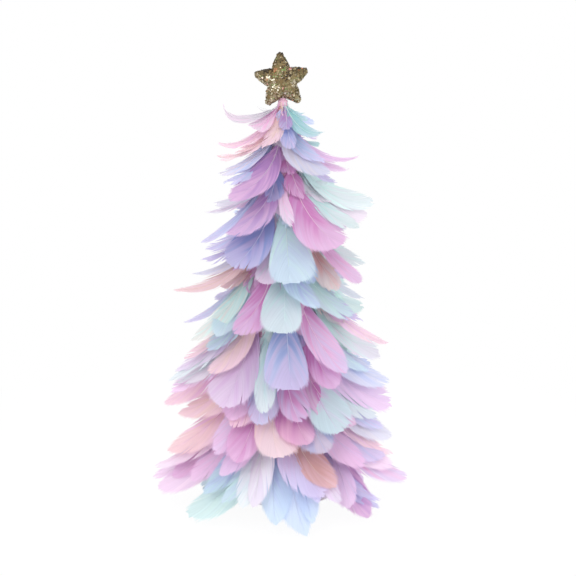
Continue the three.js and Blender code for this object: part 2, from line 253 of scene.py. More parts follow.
class Shades:
    """Small helpers for wiring nodes."""

    def __init__(self, tree: NodeTree) -> None:
        """Keep the node tree that is being wired."""
        self.tree = tree

    def node(self, kind: str, **settings: object) -> Node:
        """Add a node and set its own settings.

        Args:
            kind: The node's type.
            **settings: Its properties.

        Returns:
            The node.
        """
        made = self.tree.nodes.new(kind)
        for name, value in settings.items():
            setattr(made, name, value)
        return made

    def join(self, source: Socket, target: Socket) -> None:
        """Link one socket to another."""
        self.tree.links.new(source, target)

    def feed(self, socket: Socket, value: object) -> None:
        """Link a socket to a value's socket, or set it to a plain value."""
        if isinstance(value, Socket):
            self.join(value, socket)
        else:
            socket.default_value = value

    def fill(self, shader: Node, values: dict[str, object]) -> None:
        """Feed several of a node's inputs, by name."""
        for label, value in values.items():
            self.feed(shader.inputs[label], value)

    def merge(self, share: object, first: Socket, second: Socket, output: Node) -> None:
        """Mix two shaders and link the result to an output node."""
        both = self.node("ShaderNodeMixShader")
        self.feed(both.inputs["Fac"], share)
        self.join(first, both.inputs[1])
        self.join(second, both.inputs[2])
        self.join(both.outputs[0], output.inputs["Surface"])

    def sum(self, kind: str, first: object, second: object) -> Socket:
        """A Math node's result."""
        made = self.node("ShaderNodeMath", operation=kind)
        self.feed(made.inputs[0], first)
        self.feed(made.inputs[1], second)
        return made.outputs[0]

    def value(self, name: str) -> Socket:
        """A named value of the mesh."""
        return self.node("ShaderNodeAttribute", attribute_name=name).outputs["Fac"]

    def span(
        self, value: object, low: float, high: float, to_low: float = 0.0, to_high: float = 1.0
    ) -> Socket:
        """Map a value from one range to another, held inside it.

        Args:
            value: The value.
            low: Where its range starts.
            high: Where its range ends.
            to_low: What it becomes at the start.
            to_high: What it becomes at the end.

        Returns:
            The mapped value's socket.
        """
        made = self.node("ShaderNodeMapRange")
        self.fill(made, {"Value": value, "From Min": low, "From Max": high})
        self.fill(made, {"To Min": to_low, "To Max": to_high})
        return made.outputs[0]

    def blend(self, share: object, first: object, second: object, kind: str = "MIX") -> Socket:
        """Mix two colours.

        Args:
            share: How much of the second colour.
            first: The first colour, as on a screen or a socket.
            second: The second colour, likewise.
            kind: How they mix.

        Returns:
            The mixed colour's socket.
        """
        made = self.node("ShaderNodeMix", data_type="RGBA", blend_type=kind)
        slots = [made.inputs[0], made.inputs[6], made.inputs[7]]
        for socket, value in zip(slots, (share, first, second)):
            self.feed(socket, (*linear(*value), 1.0) if isinstance(value, tuple) else value)
        return made.outputs[2]

    def ramp(self, value: object, *stops: tuple[float, Colour]) -> Socket:
        """A colour that changes in steps along a value.

        Args:
            value: The value.
            *stops: Each step's start and colour as on a screen, lowest first.

        Returns:
            The colour's socket.
        """
        made = self.node("ShaderNodeValToRGB")
        made.color_ramp.interpolation = "CONSTANT"
        elements = made.color_ramp.elements
        for index, (start, colour) in enumerate(stops):
            element = elements[index] if index < 2 else elements.new(start)
            element.position, element.color = start, (*linear(*colour), 1.0)
        self.feed(made.inputs[0], value)
        return made.outputs["Color"]

    def noise(self, place: object, scale: float, detail: float = 2.0) -> Socket:
        """A noise value."""
        made = self.node("ShaderNodeTexNoise")
        self.fill(made, {"Vector": place, "Scale": scale, "Detail": detail})
        return made.outputs["Fac"]

    def place(self, *values: object) -> Socket:
        """A vector from three values."""
        made = self.node("ShaderNodeCombineXYZ")
        for socket, value in zip(made.inputs, values):
            self.feed(socket, value)
        return made.outputs[0]

    def here(self, *scales: float) -> Socket:
        """The place on the piece in metres, with each axis scaled where scales are given."""
        made = self.node("ShaderNodeVectorMath", operation="MULTIPLY")
        self.join(self.node("ShaderNodeTexCoord").outputs["Object"], made.inputs[0])
        made.inputs[1].default_value = scales or (1.0, 1.0, 1.0)
        return made.outputs[0]

    def bump(self, height: object, strength: float, distance: float) -> Socket:
        """A normal bent by a height, by a share of a distance in metres."""
        made = self.node("ShaderNodeBump")
        self.fill(made, {"Height": height, "Strength": strength, "Distance": distance})
        return made.outputs["Normal"]


def new_material(name: str) -> tuple[Material, Shades, Node, Node]:
    """Start a material.

    Args:
        name: The material's name.

    Returns:
        The material, its wiring helper, its Principled shader and its output node.
    """
    material = bpy.data.materials.new(name)
    material.use_nodes = True
    tree = material.node_tree
    tree.nodes.clear()
    shades = Shades(tree)
    shader = shades.node("ShaderNodeBsdfPrincipled")
    output = shades.node("ShaderNodeOutputMaterial")
    shades.join(shader.outputs["BSDF"], output.inputs["Surface"])
    return material, shades, shader, output


def barb_grain() -> NodeTree:
    """The fine streaks that run along a feather's barbs, shared by all six dyes.

    Returns:
        A group that gives streaks, slow clouds and a height from a barb's number and the place on it.
    """
    inputs = {"Barb": 0.0, "Edge": 0.0, "Pick": 0.0, "Barbs a Step": 2.2}
    group = shader_group("barb_grain", inputs, ("Streak", "Cloud", "Height"))
    shades = Shades(group)
    given, made = group.nodes["in"].outputs, group.nodes["out"].inputs
    fine = shades.sum("MULTIPLY", given["Barb"], given["Barbs a Step"])
    offset = shades.sum("MULTIPLY", given["Pick"], 31.0)
    streak = shades.noise(shades.place(fine, given["Edge"], offset), 1.0, 3.0)
    slow = shades.sum("MULTIPLY", given["Barb"], 0.17)
    cloud = shades.noise(shades.place(slow, given["Edge"], offset), 1.0, 1.0)
    shades.join(streak, made["Streak"])
    shades.join(cloud, made["Cloud"])
    shades.join(streak, made["Height"])
    return group


def fibre_grain() -> NodeTree:
    """Fine fibres, shared by the card, the tape and the stick. The material stretches the place.

    Returns:
        A group that gives a mask of fibres and their height.
    """
    inputs = {"Place": (0.0, 0.0, 0.0), "Coarse Share": 0.6}
    group = shader_group("fibre_grain", inputs, ("Fibre", "Height"))
    shades = Shades(group)
    given, made = group.nodes["in"].outputs, group.nodes["out"].inputs
    coarse = shades.noise(given["Place"], 1.0, 3.0)
    fine = shades.noise(given["Place"], 3.7, 2.0)
    mixed = shades.node("ShaderNodeMix", data_type="FLOAT")
    shades.fill(mixed, {"Factor": given["Coarse Share"], "A": fine, "B": coarse})
    shades.join(mixed.outputs["Result"], made["Fibre"])
    shades.join(mixed.outputs["Result"], made["Height"])
    return group


@dataclass(frozen=True)
class FibreFinish:
    """A dull fibrous surface: card, tape or wood, told apart by how its fibres lie."""

    name: str
    light: Colour
    dark: Colour
    stretch: Triple
    roughness: Pair
    relief: float
    coarse_share: float = 0.6
    sheen: float = 0.0

    def build(self, grain: NodeTree) -> Material:
        """Make the material.

        Args:
            grain: The shared fibre grain.

        Returns:
            The material.
        """
        material, shades, shader, _ = new_material(self.name)
        fibres = shades.node("ShaderNodeGroup", node_tree=grain)
        shades.fill(fibres, {"Place": shades.here(*self.stretch), "Coarse Share": self.coarse_share})
        mask = shades.span(fibres.outputs["Fibre"], 0.32, 0.68)
        patch = shades.span(shades.noise(shades.here(), 60.0), 0.35, 0.65, 0.0, 0.35)
        colour = shades.blend(mask, self.dark, self.light)
        colour = shades.blend(patch, colour, self.dark)
        rough = shades.span(mask, 0.0, 1.0, *self.roughness)
        normal = shades.bump(fibres.outputs["Height"], 0.5, self.relief)
        looks = {"Base Color": colour, "Roughness": rough, "Normal": normal, "Sheen Weight": self.sheen}
        shades.fill(shader, looks)
        return material


@dataclass(frozen=True)
class FoamFinish:
    """Pressed foam beads, each a shallow dome with a fine seam round it."""

    name: str = "foam"
    face: Colour = (240, 234, 242)
    seam: Colour = (216, 208, 222)
    roughness: Pair = (0.95, 0.72)
    beads_a_metre: float = 340.0
    relief: float = 0.3 * MM

    def build(self) -> Material:
        """Make the material."""
        material, shades, shader, _ = new_material(self.name)
        beads = shades.node("ShaderNodeTexVoronoi", feature="DISTANCE_TO_EDGE")
        shades.fill(beads, {"Vector": shades.here(), "Scale": self.beads_a_metre})
        dome = shades.span(beads.outputs["Distance"], 0.0, 0.22)
        colour = shades.blend(dome, self.seam, self.face)
        rough = shades.span(dome, 0.0, 1.0, *self.roughness)
        normal = shades.bump(dome, 0.4, self.relief)
        shades.fill(shader, {"Base Color": colour, "Roughness": rough, "Normal": normal})
        return material


@dataclass(frozen=True)
class GlitterFinish:
    """Foil flakes. Each flake takes one colour from the ramp by its own pick."""

    name: str
    colours: tuple[tuple[float, Colour], ...]
    metallic: float
    roughness: Pair
    grains_a_metre: float
    relief: float
    own_share: float = 0.16

    def build(self) -> Material:
        """Make the material, with still finer grains inside each flake."""
        material, shades, shader, _ = new_material(self.name)
        grains = shades.node("ShaderNodeTexVoronoi")
        shades.fill(grains, {"Vector": shades.here(), "Scale": self.grains_a_metre})
        own = shades.sum("MULTIPLY", grains.outputs["Distance"], self.own_share)
        pick = shades.sum("ADD", shades.value("pick"), own)
        colour = shades.ramp(pick, *self.colours)
        shine = shades.span(grains.outputs["Distance"], 0.0, 0.8, *self.roughness)
        normal = shades.bump(grains.outputs["Distance"], 0.5, self.relief)
        looks = {"Base Color": colour, "Roughness": shine, "Normal": normal, "Metallic": self.metallic}
        shades.fill(shader, looks)
        return material


@dataclass(frozen=True)
class Dye:
    """How one dye looks from a feather's fluffy root to its pale tip, as screen colours.

    Its deep colour near the root is partly the dye and partly painted shade under the feather above.
    """

    deep_dye_and_root_shade: Colour
    body: Colour
    tip: Colour
    rachis: Colour
    through: float = 0.42
    sheen: float = 0.2
    sheen_roughness: float = 0.5
    specular: float = 0.25
    relief: float = 0.2 * MM

    # How far slow clouds, the feather's pick and the vane's edge move the tone. The paler edge is painted
    # light showing through thin barbs.
    CLOUD_DRIFT = (-0.16, 0.16)
    PICK_DRIFT = (0.42, -0.8)
    EDGE_PAINTED_LIGHT = 0.2
    # The tones at which one colour turns into the next. The deep colour is partly dye and partly painted
    # shade at the root.
    DEEP_DYE_AND_SHADE_TO_BODY = (-0.12, 0.4)
    BODY_TO_TIP = (0.5, 1.08)
    # Where the second dye comes in.
    BLUSH_ALONG = (0.2, 0.9)
    BLUSH_CLOUD = (-0.5, 0.5)
    BLUSH_EDGE = (0.1, 0.9)
    STREAK_SHADE = (0.94, 1.04)
    PICK_SHADE = (0.97, 1.03)
    ROUGHNESS = (0.55, 0.72)

    def build(self, tint: Tint, grain: NodeTree) -> Material:
        """Make a feather's material: deep at the root, partly as painted shade, pale at the tip, paler at
        the vane's edge as painted light through thin barbs, streaked and translucent.

        Args:
            tint: The dye's name.
            grain: The shared barb grain.

        Returns:
            The material.
        """
        material, shades, shader, output = new_material(f"feather_{tint.value}")
        shaft, edge, pick = (shades.value(name) for name in ("shaft_share", "edge_share", "pick"))
        barbs = shades.node("ShaderNodeGroup", node_tree=grain)
        shades.fill(barbs, {"Barb": shades.value("barb_row"), "Edge": edge, "Pick": pick})
        cloud, streak = barbs.outputs["Cloud"], barbs.outputs["Streak"]
        depth = shades.span(pick, 0.0, 1.0, 1.0, 0.0)
        depth = shades.sum("MULTIPLY", depth, depth)
        drift = shades.span(depth, 0.0, 1.0, *self.PICK_DRIFT)
        drift = shades.sum("ADD", shades.span(cloud, 0.3, 0.7, *self.CLOUD_DRIFT), drift)
        tone = shades.sum("ADD", shaft, drift)
        # Painted light: the vane's edge is made paler, as light showing through thin barbs.
        tone = shades.sum("ADD", tone, shades.sum("MULTIPLY", edge, self.EDGE_PAINTED_LIGHT))
        # The deep colour holds near the root, partly as painted shade under the feather above.
        body_over_deep_shade = shades.span(tone, *self.DEEP_DYE_AND_SHADE_TO_BODY)
        colour = shades.blend(body_over_deep_shade, self.deep_dye_and_root_shade, self.body)
        colour = shades.blend(shades.span(tone, *self.BODY_TO_TIP), colour, self.tip)
        second = shades.node("ShaderNodeAttribute", attribute_name="blush")
        patch = shades.span(cloud, 0.35, 0.65, *self.BLUSH_CLOUD)
        patch = shades.sum("ADD", shades.span(shaft, *self.BLUSH_ALONG), patch)
        flush = shades.sum("MULTIPLY", shades.span(patch, *self.BLUSH_EDGE), second.outputs["Alpha"])
        colour = shades.blend(flush, colour, second.outputs["Color"])
        shade = shades.span(pick, 0.0, 1.0, *self.PICK_SHADE)
        shade = shades.sum("MULTIPLY", shades.span(streak, 0.3, 0.7, *self.STREAK_SHADE), shade)
        colour = shades.blend(1.0, colour, shades.place(shade, shade, shade), "MULTIPLY")
        colour = shades.blend(shades.value("rachis_mask"), colour, self.rachis)
        looks = {
            "Base Color": colour,
            "Roughness": shades.span(streak, 0.3, 0.7, *self.ROUGHNESS),
            "Normal": shades.bump(barbs.outputs["Height"], 0.18, self.relief),
            "Sheen Weight": self.sheen,
            "Sheen Roughness": self.sheen_roughness,
            "Specular IOR Level": self.specular,
        }
        shades.fill(shader, looks)
        glow = shades.node("ShaderNodeBsdfTranslucent")
        shades.join(colour, glow.inputs["Color"])
        shades.merge(self.through, shader.outputs["BSDF"], glow.outputs["BSDF"], output)
        return material


# Each dye: its deep colour, which is partly painted shade at the root, then its body, its tip and its
# rachis.
DYES: dict[Tint, Dye] = {
    Tint.PINK: Dye((213, 140, 197), (237, 193, 225), (250, 225, 243), (245, 216, 234)),
    Tint.LILAC: Dye((188, 144, 202), (216, 188, 224), (233, 213, 240), (232, 214, 237)),
    Tint.BLUE: Dye((146, 162, 213), (188, 200, 233), (211, 224, 248), (215, 223, 244)),
    Tint.MINT: Dye((154, 206, 206), (198, 230, 228), (218, 242, 237), (223, 239, 238)),
    Tint.PEACH: Dye((222, 174, 168), (240, 208, 204), (246, 228, 222), (242, 222, 215)),
    Tint.WHITE: Dye((192, 190, 200), (220, 218, 226), (240, 237, 243), (234, 231, 236)),
}

BOARD_FINISH = FibreFinish(
    "board", (238, 233, 234), (222, 214, 216), (900.0, 320.0, 900.0), (0.82, 0.95), 0.12 * MM
)
TAPE_FINISH = FibreFinish(
    "neck_wrap", (214, 172, 188), (182, 136, 160), (500.0, 500.0, 4200.0), (0.6, 0.85), 0.15 * MM, sheen=0.3
)
STICK_FINISH = FibreFinish(
    "stick", (214, 196, 188), (166, 140, 136), (2600.0, 2600.0, 140.0), (0.45, 0.7), 0.08 * MM, 0.7
)
STAR_SKIN_FINISH = GlitterFinish(
    "glitter_skin",
    ((0.0, (122, 102, 66)), (0.3, (160, 136, 86)), (0.55, (136, 130, 78)), (0.8, (188, 160, 116))),
    0.55,
    (0.3, 0.5),
    1500.0,
    0.15 * MM,
)

# Places on the flakes' colour ramp. The dark place is painted shade and the pale one painted light; orange,
# green, spark and rose are painted flashes of reflected light.
PAINTED_SHADE, PAINTED_PALE_LIGHT, ORANGE, GREEN, PAINTED_SPARK, ROSE = 0.06, 0.8, 0.88, 0.91, 0.94, 0.98
FLAKE_FINISH = GlitterFinish(
    "glitter_flakes",
    (
        (0.0, (60, 50, 38)), (0.12, (84, 72, 51)), (0.26, (108, 96, 66)), (0.38, (129, 115, 82)),
        (0.5, (148, 134, 99)), (0.6, (120, 127, 80)), (0.66, (167, 153, 122)), (0.76, (184, 174, 148)),
        (0.84, (200, 191, 175)), (ORANGE, (208, 136, 96)), (GREEN, (124, 150, 92)),
        (PAINTED_SPARK, (255, 250, 226)), (ROSE, (226, 150, 150)),
    ),
    0.6,
    (0.2, 0.42),
    2400.0,
    0.05 * MM,
    0.02,
)


class Skin:
    """A mesh of four-sided patches under construction, with the values that its finish reads."""

    VALUES = ("shaft_share", "edge_share", "barb_row", "pick", "rachis_mask")

    def __init__(self) -> None:
        """Start with no points and no faces."""
        self.points: list[Array] = []
        self.faces: list[Array] = []
        self.values: dict[str, list[Array]] = {name: [] for name in self.VALUES}
        self.blush: list[Array] = []
        self.places: list[Array] = []
        self.count = 0

    def grid(
        self, points: Array, values: Values, places: Array, blush: Blush = NO_BLUSH, wraps: bool = False
    ) -> None:
        """Add a patch, rows by columns.

        Args:
            points: The patch's points, rows by columns by 3.
            values: The named values, one for each point or one for all.
            places: Where each point lies on the flat pattern, rows by columns by 2.
            blush: The second dye's colour and how strong it is.
            wraps: True to join the last column to the first, as round a tube.
        """
        rows, columns = points.shape[:2]
        index = np.arange(rows * columns).reshape(rows, columns)
        if wraps:
            index = np.concatenate([index, index[:, :1]], axis=1)
        quads = np.stack([index[:-1, :-1], index[:-1, 1:], index[1:, 1:], index[1:, :-1]], axis=-1)
        self._add(points, quads.reshape(-1, 4), values, places, blush)

    def slips(self, points: Array, values: Values, places: Array, blush: Blush) -> None:
        """Add separate four-sided faces, whose arrays have a row for each face and four columns."""
        self._add(points, np.arange(points.shape[0] * 4).reshape(-1, 4), values, places, blush)

    def _add(self, points: Array, quads: Array, values: Values, places: Array, blush: Blush) -> None:
        """Keep a patch's points, faces and values."""
        shape = points.shape[:2]
        count = shape[0] * shape[1]
        self.points.append(points.reshape(-1, 3))
        self.faces.append(quads + self.count)
        for name in self.VALUES:
            self.values[name].append(np.broadcast_to(values.get(name, 0.0), shape).reshape(-1))
        self.blush.append(np.tile(np.array(blush), (count, 1)))
        self.places.append(places.reshape(-1, 2))
        self.count += count

    def piece(self, name: str, material: Material, smooth: bool = True) -> Piece:
        """Turn the points and faces into an object.

        Args:
            name: The piece's name.
            material: What it is made of.
            smooth: True for a smoothly shaded surface.

        Returns:
            The new piece.
        """
        points = np.concatenate(self.points)
        faces = np.concatenate(self.faces)
        mesh = bpy.data.meshes.new(name)
        mesh.vertices.add(len(points))
        mesh.vertices.foreach_set("co", points.astype(np.float32).ravel())
        mesh.loops.add(faces.size)
        mesh.loops.foreach_set("vertex_index", faces.astype(np.int32).ravel())
        mesh.polygons.add(len(faces))
        mesh.polygons.foreach_set("loop_start", np.arange(0, faces.size, 4, dtype=np.int32))
        mesh.polygons.foreach_set("use_smooth", np.full(len(faces), smooth))
        mesh.update(calc_edges=True)
        for value_name in self.VALUES:
            layer = mesh.attributes.new(value_name, "FLOAT", "POINT")
            layer.data.foreach_set("value", np.concatenate(self.values[value_name]).astype(np.float32))
        layer = mesh.attributes.new("blush", "FLOAT_COLOR", "POINT")
        layer.data.foreach_set("color", np.concatenate(self.blush).astype(np.float32).ravel())
        return dressed(mesh, np.concatenate(self.places)[faces.ravel()], material)


def ringed(name: str, rings: list[Array], material: Material, poles: tuple[Triple, ...] = ()) -> Piece:
    """Make a closed surface from rings of points.

    Args:
        name: The piece's name.
        rings: The rings, each with as many points. The first two run round clockwise as seen from the
            first ring's side.
        material: What the piece is made of.
        poles: The points that close the first and the last ring. Without them the last ring joins
            the first.

    Returns:
        The new piece.
    """
    columns = len(rings[0])
    points = np.concatenate(rings).tolist() + [list(pole) for pole in poles]
    faces: list[tuple[int, ...]] = []
    spots: list[Pair] = []
    bands = len(rings) - 1 if poles else len(rings)
    tall = bands + 2 if poles else bands
    lift = 1 if poles else 0
    for band in range(bands):
        below, above = band * columns, (band + 1) % len(rings) * columns
        for here in range(columns):
            beyond = (here + 1) % columns
            faces.append((below + here, below + beyond, above + beyond, above + here))
            for right, up in ((0, 0), (1, 0), (1, 1), (0, 1)):
                spots.append(((here + right) / columns, (band + lift + up) / tall))
    ends = ((0, lift, (1, 0)), ((len(rings) - 1) * columns, bands + lift, (0, 1)))
    for pole, (start, level, rights) in zip(range(len(poles)), ends):
        for here in range(columns):
            edge = [start + (here + right) % columns for right in rights]
            faces.append((*edge, len(rings) * columns + pole))
            spots += [((here + right) / columns, level / tall) for right in rights]
            spots.append(((here + 0.5) / columns, float(pole)))
    mesh = bpy.data.meshes.new(name)
    mesh.from_pydata(points, [], faces)
    mesh.polygons.foreach_set("use_smooth", np.ones(len(faces), dtype=bool))
    return dressed(mesh, np.array(spots), material)


def turned_rings(
    profile: list[Pair], segments: int, ripple: Callable[[float, float], float] | None = None
) -> list[Array]:
    """Turn a profile round the tree's axis.

    Args:
        profile: Radius and height of each point.
        segments: How many points each ring has.
        ripple: How far the surface stands proud at a turn and a height, if it isn't smooth.

    Returns:
        The rings.
    """
    turns = np.linspace(0.0, 2.0 * math.pi, segments, endpoint=False)
    rings = []
    for radius, height in profile:
        proud = np.array([ripple(turn, height) for turn in turns]) if ripple else 0.0
        reach = radius + proud
        flat = (reach * np.cos(turns), reach * np.sin(turns))
        rings.append(np.stack([*flat, np.full(segments, height)], axis=-1))
    return rings


@dataclass
class BaseBoard:
    """The round board under the cone, with rounded edges."""

    node: str = "base_board"
    edge: float = 0.8 * MM
    edge_steps: int = 5
    segments: int = 144
    face_shares: tuple[float, ...] = (0.25, 0.5, 0.75)

    def build(self, finish: Material) -> None:
        """Make the board in its solid's place."""
        low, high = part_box(self.node)
        radius = high.x
        profile = []
        for start, height in ((-math.pi / 2, low.z + self.edge), (0.0, high.z - self.edge)):
            for step in range(self.edge_steps + 1):
                angle = start + math.pi / 2 * step / self.edge_steps
                out = radius - self.edge + self.edge * math.cos(angle)
                profile.append((out, height + self.edge * math.sin(angle)))
        under = [(profile[0][0] * share, low.z) for share in self.face_shares]
        over = [(profile[-1][0] * share, high.z) for share in reversed(self.face_shares)]
        rings = turned_rings([*under, *profile, *over], self.segments)
        board = ringed("card_disc", rings, finish, (on_axis(low.z), on_axis(high.z)))
        settle(board, Body.TREE, "board", self.node)


@dataclass
class FoamCone:
    """The foam cone, with the star stick's blind hole down its middle."""

    node: str = "foam_cone"
    top_radius: float = 5.8 * MM
    bore_radius: float = 1.85 * MM
    bore_depth: float = 45.3 * MM
    edge: float = 0.8 * MM
    side_steps: int = 60
    bore_steps: int = 8
    segments: int = 128
    foot_shares: tuple[float, ...] = (0.25, 0.5, 0.75, 0.97)
    bead: float = 0.12 * MM
    bead_fade: float = 2.0 * MM

    def build(self, finish: Material) -> None:
        """Make the cone in its solid's place."""
        low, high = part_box(self.node)
        foot = high.x
        profile = [(foot * share, low.z) for share in self.foot_shares]
        for step in range(self.side_steps + 1):
            share = step / self.side_steps
            radius = mix(foot - self.edge * 0.3, self.top_radius, share)
            profile.append((radius, mix(low.z + self.edge, high.z - self.edge * 0.5, share)))
        profile += [(self.top_radius - self.edge, high.z), (self.bore_radius, high.z)]
        for step in range(1, self.bore_steps + 1):
            profile.append((self.bore_radius, high.z - self.bore_depth * step / self.bore_steps))

        def beads(turn: float, height: float) -> float:
            """The faint unevenness of the beads, none of it outside the solid or in the hole."""
            inner = min(1.0, (high.z - height) / self.bead_fade)
            return -self.bead * inner * (0.5 + 0.5 * math.sin(turn * 41.0 + height * 2300.0))

        rings = turned_rings(profile, self.segments, beads)
        poles = (on_axis(low.z), on_axis(high.z - self.bore_depth))
        cone = ringed("foam_body", rings, finish, poles)
        settle(cone, Body.TREE, "foam", self.node)


@dataclass
class WrappedNeck:
    """The neck between the cone and the star: a sleeve wound with narrow tape."""

    node: str = "wrapped_neck"
    foot_radius: float = 5.0 * MM
    top_radius: float = 3.0 * MM
    bore_radius: float = 1.85 * MM
    turns: float = 7.0
    proud: float = 0.35 * MM
    steps: int = 84
    bore_steps: int = 6
    segments: int = 72

    def build(self, finish: Material) -> None:
        """Make the neck in its solid's place."""
        low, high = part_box(self.node)
        tall = high.z - low.z

        def wound(turn: float, height: float) -> float:
            """How far the winding steps in at a turn and a height. The hole stays smooth."""
            pitch = self.turns * (height - low.z) / tall - turn / (2.0 * math.pi)
            return -self.proud * (pitch % 1.0) ** 2

        outer = []
        for step in range(self.steps + 1):
            share = step / self.steps
            outer.append((mix(self.foot_radius, self.top_radius, share), low.z + tall * share))
        rings = turned_rings(outer, self.segments, wound)
        steps = range(self.bore_steps + 1)
        inner = [(self.bore_radius, high.z - tall * step / self.bore_steps) for step in steps]
        rings += turned_rings(inner, self.segments)
        settle(ringed("neck_wrapping", rings, finish), Body.TREE, "neck_wrap", self.node)


@dataclass
class StarStick:
    """The thin stick that carries the star, a little rounded at both ends."""

    node: str = "star_stick"
    edge: float = 0.5 * MM
    edge_steps: int = 4
    side_steps: int = 24
    segments: int = 40
    bow: float = 0.04 * MM

    def build(self, finish: Material) -> None:
        """Make the stick in its solid's place."""
        low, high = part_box(self.node)
        radius = high.x - self.bow
        profile = []
        for step in range(self.edge_steps + 1):
            angle = math.pi / 2 * step / self.edge_steps
            inset = self.edge * (1.0 - math.sin(angle))
            profile.append((radius - inset, low.z + self.edge * (1.0 - math.cos(angle))))
        foot = profile[:]
        for step in range(1, self.side_steps):
            profile.append((radius, mix(low.z + self.edge, high.z - self.edge, step / self.side_steps)))
        profile += [(reach, high.z - (height - low.z)) for reach, height in reversed(foot)]

        def grain(turn: float, height: float) -> float:
            """The stick's faint flutes."""
            return self.bow * math.sin(turn * 9.0 + height * 60.0)

        rings = turned_rings(profile, self.segments, grain)
        stick = ringed("wooden_stick", rings, finish, (on_axis(low.z), on_axis(high.z)))
        settle(stick, Body.STICK, "stick", self.node)


@dataclass(frozen=True)
class PaintedGlintOrShade:
    """A spot of the star's front where most flakes take one colour. Most spots are painted glints of
    reflected light; those with a dark pick are painted shade.

    Its place is measured from the star's middle; its pick is a place on the flakes' colour ramp.
    """

    across_mm: float
    up_mm: float
    radius_mm: float
    pick: float
    share: float = 0.75


# Painted glints of reflected light, and painted shade where the pick is dark, on the star's front.
PAINTED_GLINTS_AND_SHADES: tuple[PaintedGlintOrShade, ...] = (
    PaintedGlintOrShade(-6.7, 10.0, 2.6, ORANGE),
    PaintedGlintOrShade(0.4, 9.4, 2.4, GREEN),
    PaintedGlintOrShade(5.9, 9.6, 1.9, ROSE),
    PaintedGlintOrShade(-3.2, 10.9, 2.0, PAINTED_SPARK),
    PaintedGlintOrShade(-6.0, 5.2, 3.0, GREEN, 0.5),
    PaintedGlintOrShade(-12.9, 2.8, 2.2, PAINTED_SPARK),
    PaintedGlintOrShade(-8.8, 1.6, 1.9, PAINTED_SPARK),
    PaintedGlintOrShade(-5.7, -5.6, 2.7, PAINTED_SPARK),
    PaintedGlintOrShade(-9.4, -7.3, 2.0, PAINTED_SPARK),
    PaintedGlintOrShade(9.9, -1.8, 4.4, PAINTED_PALE_LIGHT),
    PaintedGlintOrShade(15.0, 9.2, 2.3, ORANGE, 0.5),
    PaintedGlintOrShade(12.6, 4.4, 2.0, PAINTED_PALE_LIGHT),
    PaintedGlintOrShade(-12.6, -17.6, 5.2, PAINTED_PALE_LIGHT, 0.6),
    PaintedGlintOrShade(14.6, -17.6, 5.2, PAINTED_PALE_LIGHT, 0.6),
    PaintedGlintOrShade(-13.5, 8.4, 5.0, PAINTED_SHADE, 0.6),
    PaintedGlintOrShade(5.6, 5.2, 3.4, PAINTED_SHADE),
    PaintedGlintOrShade(1.8, 1.8, 3.2, PAINTED_SHADE, 0.6),
    PaintedGlintOrShade(7.4, 13.6, 3.2, PAINTED_SHADE, 0.6),
)


